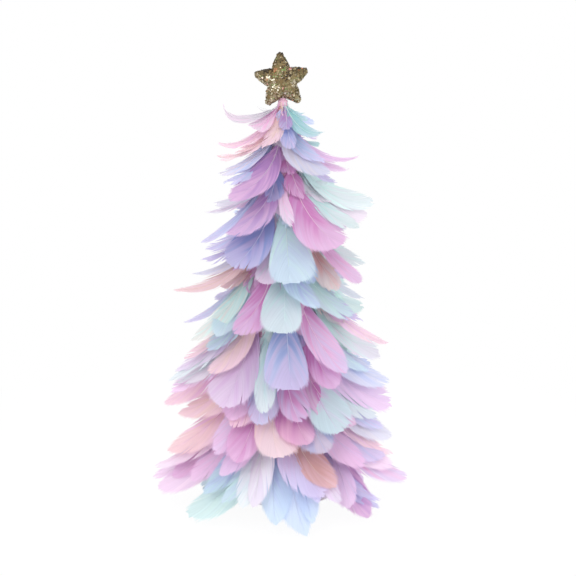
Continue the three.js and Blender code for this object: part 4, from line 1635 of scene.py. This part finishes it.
# By column: tip, dye, place on the shaft, long, wide, point, tatter, rich, second dye, strength.
PHOTOGRAPHED: tuple[Plume, ...] = (
    # Crown
    Plume(286, 130, L, (285, 108), 0.7, 0.6, 0.45, 0.4, 1.0, B),
    Plume(223, 102, W, (256, 107), 1.25, 0.55, 0.8, 0.25, 0.6, flick=36, roll=-20, lift=-26),
    Plume(252, 128, P, (274, 110), 0.9, 0.9, 0.75, 0.25, 0.7, W, flick=12),
    Plume(325, 131, M, (297, 124), 1.0, 0.8, 0.85, 0.25, 0.9, B, 0.3, flick=38),
    Plume(292, 149, B, (286, 120), 0.8, 0.7, 0.45, 0.4, 1.0, L),
    Plume(326, 161, B, (290, 134), 1.0, 0.9, 0.8, 0.25, 0.6, L, flick=10),
    Plume(262, 148, A, (277, 130), 0.85, 0.8, 0.8, 0.6, 0.3, P),
    Plume(217, 142, P, (262, 140), 1.1, 0.68, 0.95, 0.25, 0.4, A, 0.4, flick=30),
    Plume(233, 153, A, (270, 146), 0.95, 0.55, 0.85, 0.8, 0.3),
    Plume(216, 157, A, (262, 150), 1.1, 0.5, 0.85, 0.7, 0.3, flick=12),
    Plume(360, 156, L, (306, 147), 1.15, 0.6, 0.95, 0.25, 0.6, P, flick=34),
    Plume(350, 169, P, (316, 162), 1.05, 1.0, 0.8, 0.5, 0.5, flick=14),
    Plume(331, 174, W, (293, 152), 1.1, 1.3, 0.45, 0.25, 0.8),
    Plume(338, 183, B, (316, 172), 0.95, 0.5, 0.8, 0.25, 0.5, L),
    Plume(217, 173, B, (260, 155), 1.05, 0.75, 0.7, 0.9, 0.3),
    Plume(223, 182, B, (257, 163), 1.0, 0.75, 0.7, 0.9, 0.4),
    Plume(228, 200, L, (280, 155), 1.2, 1.5, 0.6, 0.35, 1.0, P, 0.55),
    Plume(213, 203, M, (242, 197), 1.0, 0.6, 0.45, 0.5, 0.5, flick=8),
    Plume(204, 212, P, (238, 205), 1.05, 0.5, 0.7, 0.25, 0.3, flick=12),
    # Upper middle
    Plume(375, 201, M, (318, 184), 1.15, 1.0, 0.3, 0.25, 0.3, W, flick=16, roll=26),
    Plume(368, 213, W, (308, 184), 1.15, 1.35, 0.6, 0.25, 0.5, P, 0.2, flick=8, roll=18),
    Plume(360, 228, M, (335, 216), 0.95, 0.9, 0.8, 0.7, 0.5),
    Plume(341, 246, P, (294, 184), 1.25, 1.7, 0.12, 0.05, 1.0, L, 0.4),
    Plume(292, 227, P, (283, 200), 0.8, 0.5, 0.45, 0.9, 0.3, W),
    Plume(192, 237, B, (238, 210), 1.1, 0.38, 0.6, 0.25, 0.5, L, flick=6),
    Plume(225, 235, L, (270, 193), 1.1, 1.2, 0.7, 0.3, 0.9, P),
    Plume(233, 267, B, (270, 210), 1.15, 1.55, 0.3, 0.1, 1.0, L, 0.35),
    Plume(205, 249, B, (240, 232), 1.0, 0.65, 0.45, 0.6, 0.4, L),
    Plume(202, 262, L, (235, 245), 0.98, 0.65, 0.45, 1.0, 0.4, B),
    Plume(290, 283, M, (286, 225), 1.1, 1.6, 0.03, 0.05, 0.45, B),
    Plume(366, 263, M, (331, 247), 1.0, 0.8, 0.8, 0.25, 0.3, W, 0.6, roll=12),
    Plume(371, 276, P, (349, 256), 1.0, 0.6, 0.3, 0.25, 0.7, L),
    Plume(338, 290, A, (320, 250), 1.0, 0.8, 0.4, 0.3, 1.0, M, 0.3),
    Plume(194, 265, W, (225, 262), 1.0, 0.5, 0.9, 0.25, 0.5, B, 0.4, flick=18),
    Plume(173, 290, A, (236, 269), 1.3, 0.7, 0.8, 0.25, 0.7, P, 0.3, flick=22),
    Plume(262, 284, W, (272, 248), 0.85, 0.85, 0.15, 0.3, 0.7, P),
    Plume(216, 337, M, (248, 278), 1.1, 1.0, 0.7, 0.1, 0.5),
    Plume(190, 341, M, (228, 305), 1.35, 0.75, 0.85, 0.25, 0.45),
    # Middle
    Plume(232, 271, P, (262, 257), 0.95, 0.45, 0.8, 0.25, 0.9, L),
    Plume(311, 285, B, (302, 262), 0.85, 0.75, 0.4, 0.25, 1.0, M, 0.4),
    Plume(206, 350, B, (234, 326), 0.95, 0.7, 0.45, 0.25, 0.4, M, 0.6),
    Plume(365, 334, A, (335, 316), 0.9, 0.5, 0.8, 0.25, 0.3, W),
    Plume(321, 308, B, (297, 284), 0.92, 0.8, 0.6, 0.25, 0.5, M, 0.4),
    Plume(365, 299, M, (325, 283), 0.95, 0.7, 0.9, 0.5, 0.4),
    Plume(355, 315, M, (322, 298), 0.85, 0.85, 0.45, 0.6, 0.5, B, 0.3),
    Plume(364, 321, L, (335, 305), 0.9, 0.6, 0.9, 0.6, 0.5, B),
    Plume(182, 322, B, (222, 302), 1.1, 0.35, 0.9, 0.25, 0.3, L, flick=14),
    Plume(234, 334, P, (268, 283), 1.0, 1.15, 0.45, 0.1, 1.0, L),
    Plume(283, 334, M, (285, 290), 0.95, 1.3, 0.12, 0.06, 0.45, L, 0.2),
    Plume(347, 374, P, (304, 308), 1.1, 0.95, 0.5, 0.08, 0.8),
    Plume(390, 344, P, (355, 328), 1.1, 0.5, 0.85, 0.25, 0.5, A, 0.4, flick=6),
    Plume(380, 354, M, (322, 318), 1.08, 0.95, 0.05, 0.4, 0.4),
    Plume(369, 371, M, (345, 357), 0.95, 0.5, 0.5, 0.25, 0.5),
    Plume(208, 373, A, (243, 335), 0.98, 0.8, 0.5, 0.25, 0.6, P, 0.4),
    Plume(183, 360, A, (210, 343), 1.0, 0.55, 0.85, 0.8, 0.3, P),
    Plume(173, 371, L, (205, 352), 1.05, 0.6, 0.85, 0.9, 0.4, W),
    Plume(167, 382, W, (200, 360), 1.05, 0.5, 1.0, 0.9, 0.5),
    Plume(174, 383, M, (205, 365), 1.0, 0.7, 0.7, 0.5, 0.5),
    Plume(224, 409, L, (252, 338), 1.2, 1.4, 0.4, 0.5, 0.5, W, 0.25),
    Plume(263, 414, M, (267, 350), 1.0, 0.65, 0.3, 0.25, 0.5, W, 0.4),
    Plume(292, 391, B, (287, 335), 1.06, 1.3, 0.0, 0.06, 0.8, L),
    Plume(334, 389, P, (316, 355), 0.92, 0.9, 0.3, 0.25, 1.0, L, 0.4),
    Plume(390, 381, B, (340, 368), 1.08, 0.85, 0.5, 0.25, 0.5, W, flick=4, roll=12),
    Plume(392, 404, L, (345, 384), 1.08, 1.1, 0.2, 0.25, 0.5, P, 0.3, roll=14),
    Plume(378, 416, M, (345, 396), 0.98, 0.8, 0.5, 0.25, 0.5, W, 0.6),
    Plume(164, 402, P, (205, 375), 1.05, 0.9, 0.6, 0.4, 0.6),
    Plume(170, 391, P, (205, 368), 1.0, 0.8, 0.7, 0.7, 0.5, L),
    Plume(177, 413, A, (207, 400), 0.98, 1.05, 0.8, 0.5, 0.5),
    # Lower
    Plume(357, 424, P, (313, 394), 0.98, 0.85, 0.5, 0.3, 1.0),
    Plume(340, 433, L, (322, 402), 0.95, 1.2, 0.2, 0.1, 0.4, M, 0.8),
    Plume(326, 453, B, (306, 398), 1.0, 1.15, 0.4, 0.1, 1.0),
    Plume(300, 423, P, (289, 392), 0.85, 0.85, 0.3, 0.1, 1.0),
    Plume(309, 445, P, (293, 410), 0.88, 1.0, 0.3, 0.12, 1.0, A, 0.2),
    Plume(258, 426, B, (262, 395), 0.88, 0.9, 0.45, 0.25, 0.5, L),
    Plume(230, 420, L, (243, 398), 0.9, 0.9, 0.45, 0.25, 0.5, P),
    Plume(231, 427, P, (245, 405), 0.82, 0.8, 0.45, 0.4, 0.5, A),
    Plume(214, 455, L, (242, 412), 0.98, 0.8, 0.5, 0.25, 0.1, P),
    Plume(278, 458, A, (272, 415), 0.9, 1.2, 0.15, 0.1, 0.6, P, 0.3),
    Plume(235, 463, P, (256, 415), 0.96, 0.95, 0.35, 0.25, 1.0, L, 0.2),
    Plume(167, 451, P, (219, 412), 1.12, 0.95, 0.55, 0.2, 0.5, A, 0.7),
    Plume(393, 436, W, (350, 418), 1.06, 0.9, 0.4, 0.25, 0.5, B, 0.3),
    Plume(384, 428, B, (348, 410), 1.0, 0.8, 0.6, 0.25, 0.5, L),
    Plume(386, 456, B, (345, 430), 1.02, 1.0, 0.5, 0.25, 0.6),
    Plume(394, 455, P, (355, 435), 1.05, 0.6, 0.8, 0.5, 0.5, A),
    Plume(366, 466, L, (332, 432), 1.0, 0.8, 0.4, 0.25, 0.5, P, 0.7),
    Plume(392, 468, P, (350, 443), 1.05, 0.95, 0.5, 0.25, 0.5, W, 0.3, flick=4),
    Plume(172, 477, P, (215, 440), 1.08, 1.0, 0.5, 0.25, 0.8),
    Plume(153, 466, P, (195, 445), 1.08, 0.6, 0.8, 0.8, 0.3, W),
    Plume(152, 478, P, (190, 457), 1.1, 0.8, 0.7, 0.7, 0.3),
    Plume(157, 487, P, (203, 460), 1.1, 0.85, 0.25, 0.1, 0.3),
    Plume(192, 482, L, (224, 448), 1.0, 0.8, 0.5, 0.25, 0.3, P, 0.6),
    Plume(220, 476, L, (241, 446), 0.95, 0.7, 0.5, 0.25, 0.1, P),
    # Foot
    Plume(242, 508, W, (256, 470), 1.02, 0.65, 0.4, 0.1, 0.0, M, 0.3),
    Plume(319, 503, B, (307, 474), 1.0, 0.45, 0.4, 0.1, 0.0, L),
    Plume(341, 503, L, (320, 470), 1.0, 0.65, 0.5, 0.1, 0.3, W),
    Plume(253, 508, W, (260, 468), 1.02, 0.6, 0.5, 0.1, 0.0, L, 0.3),
    Plume(203, 494, B, (233, 464), 1.0, 0.7, 0.6, 0.3, 0.8, M),
    Plume(187, 514, M, (244, 490), 1.2, 0.88, 0.1, 0.03, 0.3, B, 0.15),
    Plume(221, 504, M, (258, 458), 1.15, 0.62, 0.6, 0.05, 0.6, B),
    Plume(276, 526, B, (273, 462), 1.04, 0.82, 0.75, 0.12, 0.0, M, 0.2),
    Plume(307, 537, B, (289, 462), 1.09, 0.88, 0.75, 0.12, 0.3, M, 0.1),
    Plume(313, 524, B, (301, 470), 0.98, 0.6, 0.7, 0.1, 0.0, M, 0.1),
    Plume(325, 497, L, (301, 462), 0.96, 1.0, 0.35, 0.25, 0.5, B, 0.3),
    Plume(336, 488, A, (297, 446), 1.0, 0.85, 0.35, 0.05, 0.9, P, 0.2),
    Plume(350, 508, L, (343, 470), 1.02, 0.7, 0.45, 0.2, 0.3, P, 0.3),
    Plume(369, 519, L, (340, 472), 1.1, 0.85, 0.6, 0.2, 0.9, P),
    Plume(381, 500, L, (350, 483), 1.08, 0.5, 0.8, 0.5, 0.5, B),
    Plume(380, 508, B, (347, 484), 1.08, 0.6, 0.6, 0.3, 0.8),
    Plume(408, 477, P, (347, 451), 1.14, 0.85, 0.4, 0.3, 0.6, flick=6),
)


@dataclass
class Guess:
    """A trial seat for a photographed feather: its height, turn, length, sideways bend and tilt."""

    height: float
    sine: float = 0.0
    stretch: float = 1.0
    bend: float = 0.0
    tilt: float = 0.0


@dataclass(frozen=True)
class Zone:
    """How the feathers that no photograph shows are cut in one stretch of turns."""

    widest_turn: float
    long: float
    root_tilt: float
    tip_tilt: float
    between: bool


@dataclass(frozen=True)
class Accident:
    """A value that differs from feather to feather, in a way that the feather's number fixes."""

    usual: float
    spread: float
    ratio: float

    def of(self, serial: int) -> float:
        """The value for one feather's number."""
        return self.usual + self.spread * wander(serial, self.ratio)


@dataclass(frozen=True)
class Tuft:
    """A short feather at the very top, whose base wraps the neck."""

    turn_degrees: float
    tint: Tint
    length: float
    width: float


class FeatherCoat:
    """All the feathers, row by row: those in the photograph, and those that it doesn't show."""

    ROW_COUNT = 21
    CROWN_ROWS = ("crown_row_1", "crown_row_2")
    # The usual feather of the lowest and of the highest row. In front its root and tip hang steeper.
    LENGTHS = (94.0 * MM, 58.0 * MM)
    WIDTHS = (37.0 * MM, 21.0 * MM)
    ROOT_PITCHES = (64.0, 58.0)
    TIP_PITCHES = (18.0, -8.0)
    FRONT_DROP = (4.0, 24.0)
    ROWS_TO_FULL_DROP = 6
    # How many have room side by side: judged where they are closest, with some room between them.
    TIGHTEST_SHARE = 0.38
    TIGHTEST_WIDTH = 0.84
    SIDE_ROOM = 0.36
    FEWEST = 5
    # The feathers that the photograph doesn't show.
    SERIALS_A_ROW = 37
    BETWEEN_SERIAL = 1000
    BETWEEN_TILT = 2.5
    START_RATIO = 0.618034
    TURN_SPREAD = 0.06
    TURN_RATIO = 0.732051
    LENGTH = Accident(1.0, 0.11, START_RATIO)
    TILT = Accident(0.0, 1.5, 0.236068)
    CURL = Accident(0.0, 7.0, 0.86602)
    BEND = Accident(0.0, 0.16, 0.414214)
    ROLL = Accident(0.0, 12.0, 0.57)
    POINT = Accident(0.4, 0.35, 0.77)
    RICH = Accident(0.55, -0.3, 0.91)
    LEAST_TATTER = 0.2
    MORE_TATTER = 0.35
    TATTER_RATIO = 0.31
    SIDE_ROLL = 26.0
    WIDER = 1.08
    TINT_CYCLE = (P, B, M, L, A, B, P, W, M, L, P, B, L, M, P, A, L, B, M, W)
    TINT_STEPS = (7, 3)
    BLUSH_EVERY = 3
    BLUSH_SHIFT = 5
    RUN_STRENGTH = 0.4
    ZONES = (
        Zone(math.radians(64.0), 0.5, 8.0, 34.0, False),
        Zone(math.radians(112.0), 0.58, 2.0, 10.0, True),
        Zone(math.radians(142.0), 0.8, 0.0, 4.0, True),
        Zone(math.radians(181.0), 1.0, 0.0, 0.0, True),
    )
    SKIRT = Zone(math.radians(136.0), 0.8, 11.0, 42.0, True)
    SKIRT_TURN = math.radians(42.0)
    SKIRT_ROWS = 4
    SLIM_ROWS_FROM = 18
    SLIM_SHARE = 0.62
    # Those shorter than this take the look of the nearest feather in the photograph.
    CARRIED_BELOW = 0.7
    CARRIED_WIDTH = 0.8
    CARRIED_POINT = 0.8
    CARRIED_TATTER = 0.7
    # The tip and the edges stay this far above the floor; the edges hang by a share of the width.
    FLOOR_CLEARANCE = 0.8 * MM
    EDGE_SAG = 0.04
    # The photographed feathers: how their seats are looked for, and how far a seat may stray.
    PLUME_SERIAL = 3000
    FACING_ROLL = 32.0
    SOLVE_STEPS = 30
    HEIGHT_GAIN = 0.8
    TURN_GAIN = 0.9
    LENGTH_GAIN = 0.7
    TILT_GAIN = 0.5
    REACH_GAIN = 0.5
    BEND_GAIN = 0.4
    STEEPEST_SINE = 0.985
    SHORTEST_STRETCH = 0.7
    LONGEST_STRETCH = 1.6
    WIDEST_BEND = 0.4
    WIDEST_TILT = 24.0
    NECK_TUFTS = (
        Tuft(-62.0, P, 25.0 * MM, 11.0 * MM),
        Tuft(-18.0, A, 22.0 * MM, 9.0 * MM),
        Tuft(26.0, W, 21.0 * MM, 7.0 * MM),
        Tuft(68.0, M, 17.0 * MM, 8.0 * MM),
        Tuft(118.0, W, 24.0 * MM, 10.0 * MM),
        Tuft(172.0, B, 23.0 * MM, 10.0 * MM),
        Tuft(232.0, A, 24.0 * MM, 10.0 * MM),
    )
    TUFT_PITCHES = (84.0, 50.0)
    TUFT_DROP = 1.8 * MM
    TUFT_SERIAL = 5000
    TUFT_RICH = 0.8
    TUFT_POINT = 0.7
    TUFT_TATTER = 0.5

    def __init__(self, eye: Eye, carrier: Carrier) -> None:
        """Read the rows and start with no feathers.

        Args:
            eye: The photograph's camera.
            carrier: The cone and the neck.
        """
        self.eye = eye
        self.carrier = carrier
        numbers = range(1, self.ROW_COUNT + 1)
        nodes = [f"feather_row_{number:02d}" for number in numbers] + list(self.CROWN_ROWS)
        half = carrier.tape_width / 2.0
        self.rows = [Row(node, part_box(node)[1].z - half, serial) for serial, node in enumerate(nodes)]
        self.feathers: list[tuple[Row, Feather]] = []

    def place_of(self, height: float) -> float:
        """How far up the tree a height is, from 0 at the lowest row to 1 at the highest."""
        low, top = self.rows[0].height, self.rows[-1].height
        return held((height - low) / (top - low), 0.0, 1.0)

    def row_at(self, height: float) -> Row:
        """The row whose tape is nearest to a height."""
        return min(self.rows, key=lambda row: abs(row.height - height))

    def usual(self, height: float, turn: float, tint: Tint, serial: int) -> Feather:
        """A feather of the usual size and pitch for its place.

        Args:
            height: The middle of the tape that holds it.
            turn: Its turn round the tree.
            tint: Its dye.
            serial: Its number, which sets its small accidents.

        Returns:
            The feather.
        """
        place = self.place_of(height)
        hang = min(1.0, self.row_at(height).serial / self.ROWS_TO_FULL_DROP) * max(0.0, math.cos(turn))
        return Feather(
            turn=turn,
            height=height - self.carrier.tape_width / 2.0,
            seat_radius=self.carrier.seat_at(height),
            length=mix(*self.LENGTHS, place),
            width=mix(*self.WIDTHS, place),
            root_pitch=mix(*self.ROOT_PITCHES, place) + hang * self.FRONT_DROP[0],
            tip_pitch=mix(*self.TIP_PITCHES, place) + hang * self.FRONT_DROP[1],
            tint=tint,
            serial=serial,
        )

    def _trial(self, plume: Plume, serial: int, guess: Guess) -> Feather:
        """A photographed feather at a trial seat."""
        feather = self.usual(guess.height, math.asin(guess.sine), plume.tint, serial)
        feather.length *= plume.long * guess.stretch
        feather.width *= plume.wide
        feather.root_pitch += plume.lift + guess.tilt
        feather.tip_pitch += plume.lift + guess.tilt
        feather.bend, feather.flick = guess.bend, plume.flick
        feather.roll = self.FACING_ROLL * guess.sine + plume.roll
        feather.tatter, feather.point = plume.tatter, plume.point
        feather.blush, feather.blush_strength = plume.blush, plume.strength
        feather.rich = plume.rich
        return feather

    def _miss(self, feather: Feather, via_px: Pair) -> float:
        """How far to the right of a pixel a feather's shaft passes."""
        x_px, y_px = via_px
        seen = [self.eye.project(Vector(point)) for point in feather.shaft()[0]]
        below = next((spot for spot in seen if spot[1] >= y_px), seen[-1])
        return below[0] - x_px

    def _correct(self, guess: Guess, feather: Feather, plume: Plume, on_row: bool) -> None:
        """Move a trial seat so that the feather comes closer to its pixels.

        Args:
            guess: The trial seat, which is changed.
            feather: The feather on that seat.
            plume: What the photograph shows of it.
            on_row: True once the height stays, so that length and tilt change.
        """
        tip = feather.tip()
        x_px, y_px = self.eye.project(tip)
        scale = self.eye.metres_per_px(tip)
        rise = (y_px - plume.y_px) * scale
        if on_row:
            aside = abs(guess.sine) ** 2
            guess.stretch *= 1.0 - self.LENGTH_GAIN * (1.0 - aside) * rise / feather.length
            guess.tilt -= math.degrees(self.TILT_GAIN * aside * rise / feather.length)
            guess.tilt = held(guess.tilt, -self.WIDEST_TILT, self.WIDEST_TILT)
        else:
            height = guess.height + self.HEIGHT_GAIN * rise
            guess.height = held(height, self.rows[0].height, self.rows[-1].height)
        wanted = guess.sine + self.TURN_GAIN * (plume.x_px - x_px) * scale / math.hypot(tip.x, tip.y)
        guess.sine = held(wanted, -self.STEEPEST_SINE, self.STEEPEST_SINE)
        guess.stretch *= 1.0 + self.REACH_GAIN * max(abs(wanted) - self.STEEPEST_SINE, 0.0)
        guess.stretch = held(guess.stretch, self.SHORTEST_STRETCH, self.LONGEST_STRETCH)
        guess.bend += self.BEND_GAIN * self._miss(feather, plume.via_px) * scale / feather.length
        guess.bend = held(guess.bend, -self.WIDEST_BEND, self.WIDEST_BEND)

    def photographed(self, plume: Plume, serial: int) -> tuple[Row, Feather]:
        """Seat a photographed feather on a row so that its tip falls on its pixel.

        The seat is looked for first. The feather then moves to the nearest row's tape, and its
        length and tilt take up the difference.

        Args:
            plume: What the photograph shows of it.
            serial: Its number.

        Returns:
            The row and the feather.
        """
        row = self.rows[len(self.rows) // 2]
        guess = Guess(row.height)
        for on_row in (False, True):
            for _ in range(self.SOLVE_STEPS):
                feather = self._trial(plume, serial, guess)
                self._correct(guess, feather, plume, on_row)
            if not on_row:
                row = self.row_at(guess.height)
                guess.height = row.height
        if feather.blush is None:
            tip = Vector((plume.x_px, plume.y_px))
            others = (other for other in PHOTOGRAPHED if other.tint is not plume.tint)
            feather.blush = min(others, key=lambda other: other.apart(tip)).tint
            feather.blush_strength = self.RUN_STRENGTH
        self._clear_floor(feather)
        return row, feather

    def _clear_floor(self, feather: Feather) -> None:
        """Raise a feather that would touch the floor."""
        sink = self.FLOOR_CLEARANCE + self.EDGE_SAG * feather.width - feather.tip().z
        feather.height += max(sink, 0.0)

    def count_in(self, row: Row) -> int:
        """How many of the usual feathers have room side by side in a row."""
        usual = self.usual(row.height, math.pi, P, 0)
        pitch = usual.root_pitch + (usual.tip_pitch - usual.root_pitch) * self.TIGHTEST_SHARE / 2.0
        out = usual.length * self.TIGHTEST_SHARE * math.cos(math.radians(pitch))
        ring = 2.0 * math.pi * (self.carrier.radius_at(row.height) + out)
        room = usual.width * self.TIGHTEST_WIDTH * (1.0 + self.SIDE_ROOM)
        return max(self.FEWEST, math.floor(ring / room))

    def zone_at(self, row: Row, turn: float) -> Zone:
        """How the feathers at a turn round a row are cut.

        Args:
            row: The row.
            turn: The turn, half a turn either way at most.

        Returns:
            The zone. The lowest rows have a skirt of their own at the sides.
        """
        if row.serial < self.SKIRT_ROWS and self.SKIRT_TURN < abs(turn) < self.SKIRT.widest_turn:
            return self.SKIRT
        return next(zone for zone in self.ZONES if abs(turn) < zone.widest_turn)

    def add_row(self, row: Row) -> None:
        """Add the row's usual feathers, and more between them where nothing else covers the row.

        Args:
            row: The row to fill.
        """
        count = self.count_in(row)
        step = 2.0 * math.pi / count
        start = 2.0 * math.pi * ((row.serial * self.START_RATIO) % 1.0) + math.pi / 2.0
        for index in range(2 * count):
            between = index % 2
            number = row.serial * self.SERIALS_A_ROW + index // 2 + 1 + self.BETWEEN_SERIAL * between
            turn = start + (index / 2.0) * step + step * self.TURN_SPREAD * wander(number, self.TURN_RATIO)
            turn = (turn + math.pi) % (2.0 * math.pi) - math.pi
            zone = self.zone_at(row, turn)
            if zone.between or not between:
                self.feathers.append((row, self.unseen(row, turn, number, zone)))

    def unseen(self, row: Row, turn: float, number: int, zone: Zone) -> Feather:
        """A feather that the photograph doesn't show.

        Args:
            row: Its row.
            turn: Its turn round the tree.
            number: Its number, a high one if it lies between others.
            zone: How it is cut.

        Returns:
            The feather.
        """
        by_number, by_row = self.TINT_STEPS
        tint = self.TINT_CYCLE[(number * by_number + row.serial * by_row) % len(self.TINT_CYCLE)]
        feather = self.usual(row.height, turn, tint, number)
        tilt = self.TILT.of(number) - (self.BETWEEN_TILT if number > self.BETWEEN_SERIAL else 0.0)
        feather.length *= self.LENGTH.of(number) * zone.long
        feather.width *= self.WIDER
        feather.root_pitch += tilt + zone.root_tilt
        feather.tip_pitch += tilt + zone.tip_tilt + self.CURL.of(number)
        feather.bend = self.BEND.of(number)
        feather.roll = self.ROLL.of(number) + self.SIDE_ROLL * math.sin(turn)
        feather.tatter = self.LEAST_TATTER + self.MORE_TATTER * abs(wander(number, self.TATTER_RATIO))
        feather.point = self.POINT.of(number)
        feather.rich = self.RICH.of(number)
        if number % self.BLUSH_EVERY == 0:
            feather.blush = self.TINT_CYCLE[(number + self.BLUSH_SHIFT) % len(self.TINT_CYCLE)]
            feather.blush_strength = self.RUN_STRENGTH
        if zone.long < self.CARRIED_BELOW:
            self._carry_on(feather)
        if zone.long < 1.0 and row.serial >= self.SLIM_ROWS_FROM:
            feather.length *= self.SLIM_SHARE
        self._clear_floor(feather)
        return feather

    def _carry_on(self, feather: Feather) -> None:
        """Dye and cut a feather like the photographed one whose blade it lies next to on the picture."""
        spot = Vector(self.eye.project(feather.tip()))
        nearest = min(PHOTOGRAPHED, key=lambda plume: plume.apart(spot))
        feather.tint, feather.blush = nearest.tint, nearest.blush
        feather.blush_strength, feather.rich = nearest.strength, nearest.rich
        feather.point, feather.tatter = self.CARRIED_POINT, self.CARRIED_TATTER
        feather.width *= self.CARRIED_WIDTH

    def add_tufts(self) -> None:
        """Add the short feathers at the very top, whose bases wrap the neck."""
        top = self.carrier.neck_top - self.carrier.tape_width / 2.0 - self.TUFT_DROP
        for number, tuft in enumerate(self.NECK_TUFTS):
            turn = math.radians(tuft.turn_degrees)
            feather = self.usual(top, turn, tuft.tint, self.TUFT_SERIAL + number)
            feather.height = top
            feather.length, feather.width = tuft.length, tuft.width
            feather.root_pitch, feather.tip_pitch = self.TUFT_PITCHES
            feather.rich, feather.point = self.TUFT_RICH, self.TUFT_POINT
            feather.tatter = self.TUFT_TATTER
            self.feathers.append((self.rows[-1], feather))

    def build(self, finishes: dict[Tint, Material], tape_finish: Material) -> None:
        """Make every feather and its tape, and join those of one row and dye into a piece.

        Args:
            finishes: The material of each dye.
            tape_finish: The tapes' material.
        """
        for row in self.rows:
            self.add_row(row)
        for number, plume in enumerate(PHOTOGRAPHED):
            self.feathers.append(self.photographed(plume, self.PLUME_SERIAL + number))
        self.add_tufts()
        for row in self.rows:
            row.tape(self.carrier, tape_finish)
            for tint in Tint:
                of_row = (feather for owner, feather in self.feathers if owner is row)
                group = [feather for feather in of_row if feather.tint is tint]
                if group:
                    self._build_group(row, tint, group, finishes[tint])
        log.info("feathers: %d on %d rows", len(self.feathers), len(self.rows))

    @staticmethod
    def _build_group(row: Row, tint: Tint, group: list[Feather], finish: Material) -> None:
        """Make one piece of a row's feathers of one dye."""
        skin = Skin()
        for index, feather in enumerate(group):
            feather.add_to(skin, (index / len(group), 1.0 / len(group)))
        piece = skin.piece(f"{row.node}_{tint.value}", finish)
        settle(piece, Body.TREE, f"feather_{tint.value}", row.node)


@dataclass(frozen=True)
class Lamp:
    """A square soft lamp that faces the tree's middle."""

    name: str
    place: Triple
    size: float
    watts: float
    aim: Triple = (0.0, 0.0, 0.2)

    def build(self) -> None:
        """Make the lamp."""
        data = bpy.data.lights.new(self.name, "AREA")
        data.size = self.size
        data.energy = self.watts
        lamp = new_object(self.name, data)
        lamp.location = self.place
        toward = Vector(self.aim) - Vector(self.place)
        lamp.rotation_mode = "QUATERNION"
        lamp.rotation_quaternion = toward.to_track_quat("-Z", "Y")


class Studio:
    """The plain white floor and the soft light."""

    FLOOR_HALF = 3.0
    FLOOR_COLOUR = (0.93, 0.93, 0.93, 1.0)
    SHADOW_REACH = (0.12, 0.42)
    SHADOW_SHARE = 0.06
    SKY_STRENGTH = 1.2
    LAMPS = (
        Lamp("key", (-0.9, -1.3, 1.5), 1.0, 10.0),
        Lamp("fill", (1.3, -0.9, 0.7), 1.2, 8.0),
        Lamp("back", (0.3, 1.4, 1.2), 1.2, 6.0),
    )

    def build(self) -> None:
        """Make the floor, the world and the lamps."""
        self._floor()
        self._world()
        for lamp in self.LAMPS:
            lamp.build()
        bpy.context.scene.view_settings.view_transform = "Standard"

    @staticmethod
    def _seen(shades: Shades) -> Socket:
        """A mask of the rays that show a surface rather than light it."""
        path = shades.node("ShaderNodeLightPath")
        seen = shades.sum("MAXIMUM", path.outputs["Is Camera Ray"], path.outputs["Is Glossy Ray"])
        return shades.sum("MAXIMUM", seen, path.outputs["Is Transmission Ray"])

    def _floor(self) -> None:
        """A white floor that is plain white to the camera, but for a faint shadow near the tree."""
        material, shades, shader, output = new_material("studio_floor")
        shades.fill(shader, {"Base Color": self.FLOOR_COLOUR, "Roughness": 0.9})
        away = shades.node("ShaderNodeVectorMath", operation="LENGTH")
        shades.join(shades.here(), away.inputs[0])
        plain = shades.span(away.outputs["Value"], *self.SHADOW_REACH, 1.0 - self.SHADOW_SHARE, 1.0)
        glow = shades.node("ShaderNodeEmission")
        share = shades.sum("MULTIPLY", self._seen(shades), plain)
        shades.merge(share, shader.outputs["BSDF"], glow.outputs[0], output)
        mesh = bpy.data.meshes.new("studio_floor")
        half = self.FLOOR_HALF
        corners = [(-half, -half, 0.0), (half, -half, 0.0), (half, half, 0.0), (-half, half, 0.0)]
        mesh.from_pydata(corners, [], [(0, 1, 2, 3)])
        mesh.materials.append(material)
        new_object("studio_floor", mesh)

    def _world(self) -> None:
        """A white world: full white to the camera, gentler as light."""
        world = bpy.data.worlds.new("studio")
        world.use_nodes = True
        world.node_tree.nodes.clear()
        shades = Shades(world.node_tree)
        light = shades.node("ShaderNodeBackground")
        light.inputs["Strength"].default_value = self.SKY_STRENGTH
        sight = shades.node("ShaderNodeBackground")
        output = shades.node("ShaderNodeOutputWorld")
        for background in (light, sight):
            background.inputs["Color"].default_value = (1.0, 1.0, 1.0, 1.0)
        shades.merge(self._seen(shades), light.outputs[0], sight.outputs[0], output)
        bpy.context.scene.world = world


def main() -> None:
    """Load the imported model, dress it and light it."""
    logging.basicConfig(level=logging.INFO, format="%(name)s: %(message)s")
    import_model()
    eye = Eye()
    eye.build()
    Studio().build()
    fibres = fibre_grain()
    barbs = barb_grain()
    tape = TAPE_FINISH.build(fibres)
    BaseBoard().build(BOARD_FINISH.build(fibres))
    FoamCone().build(FoamFinish().build())
    WrappedNeck().build(tape)
    StarStick().build(STICK_FINISH.build(fibres))
    GlitterStar().build(STAR_SKIN_FINISH.build(), FLAKE_FINISH.build())
    coat = FeatherCoat(eye, Carrier.from_frame())
    coat.build({tint: dye.build(tint, barbs) for tint, dye in DYES.items()}, tape)


if __name__ == "__main__":
    main()
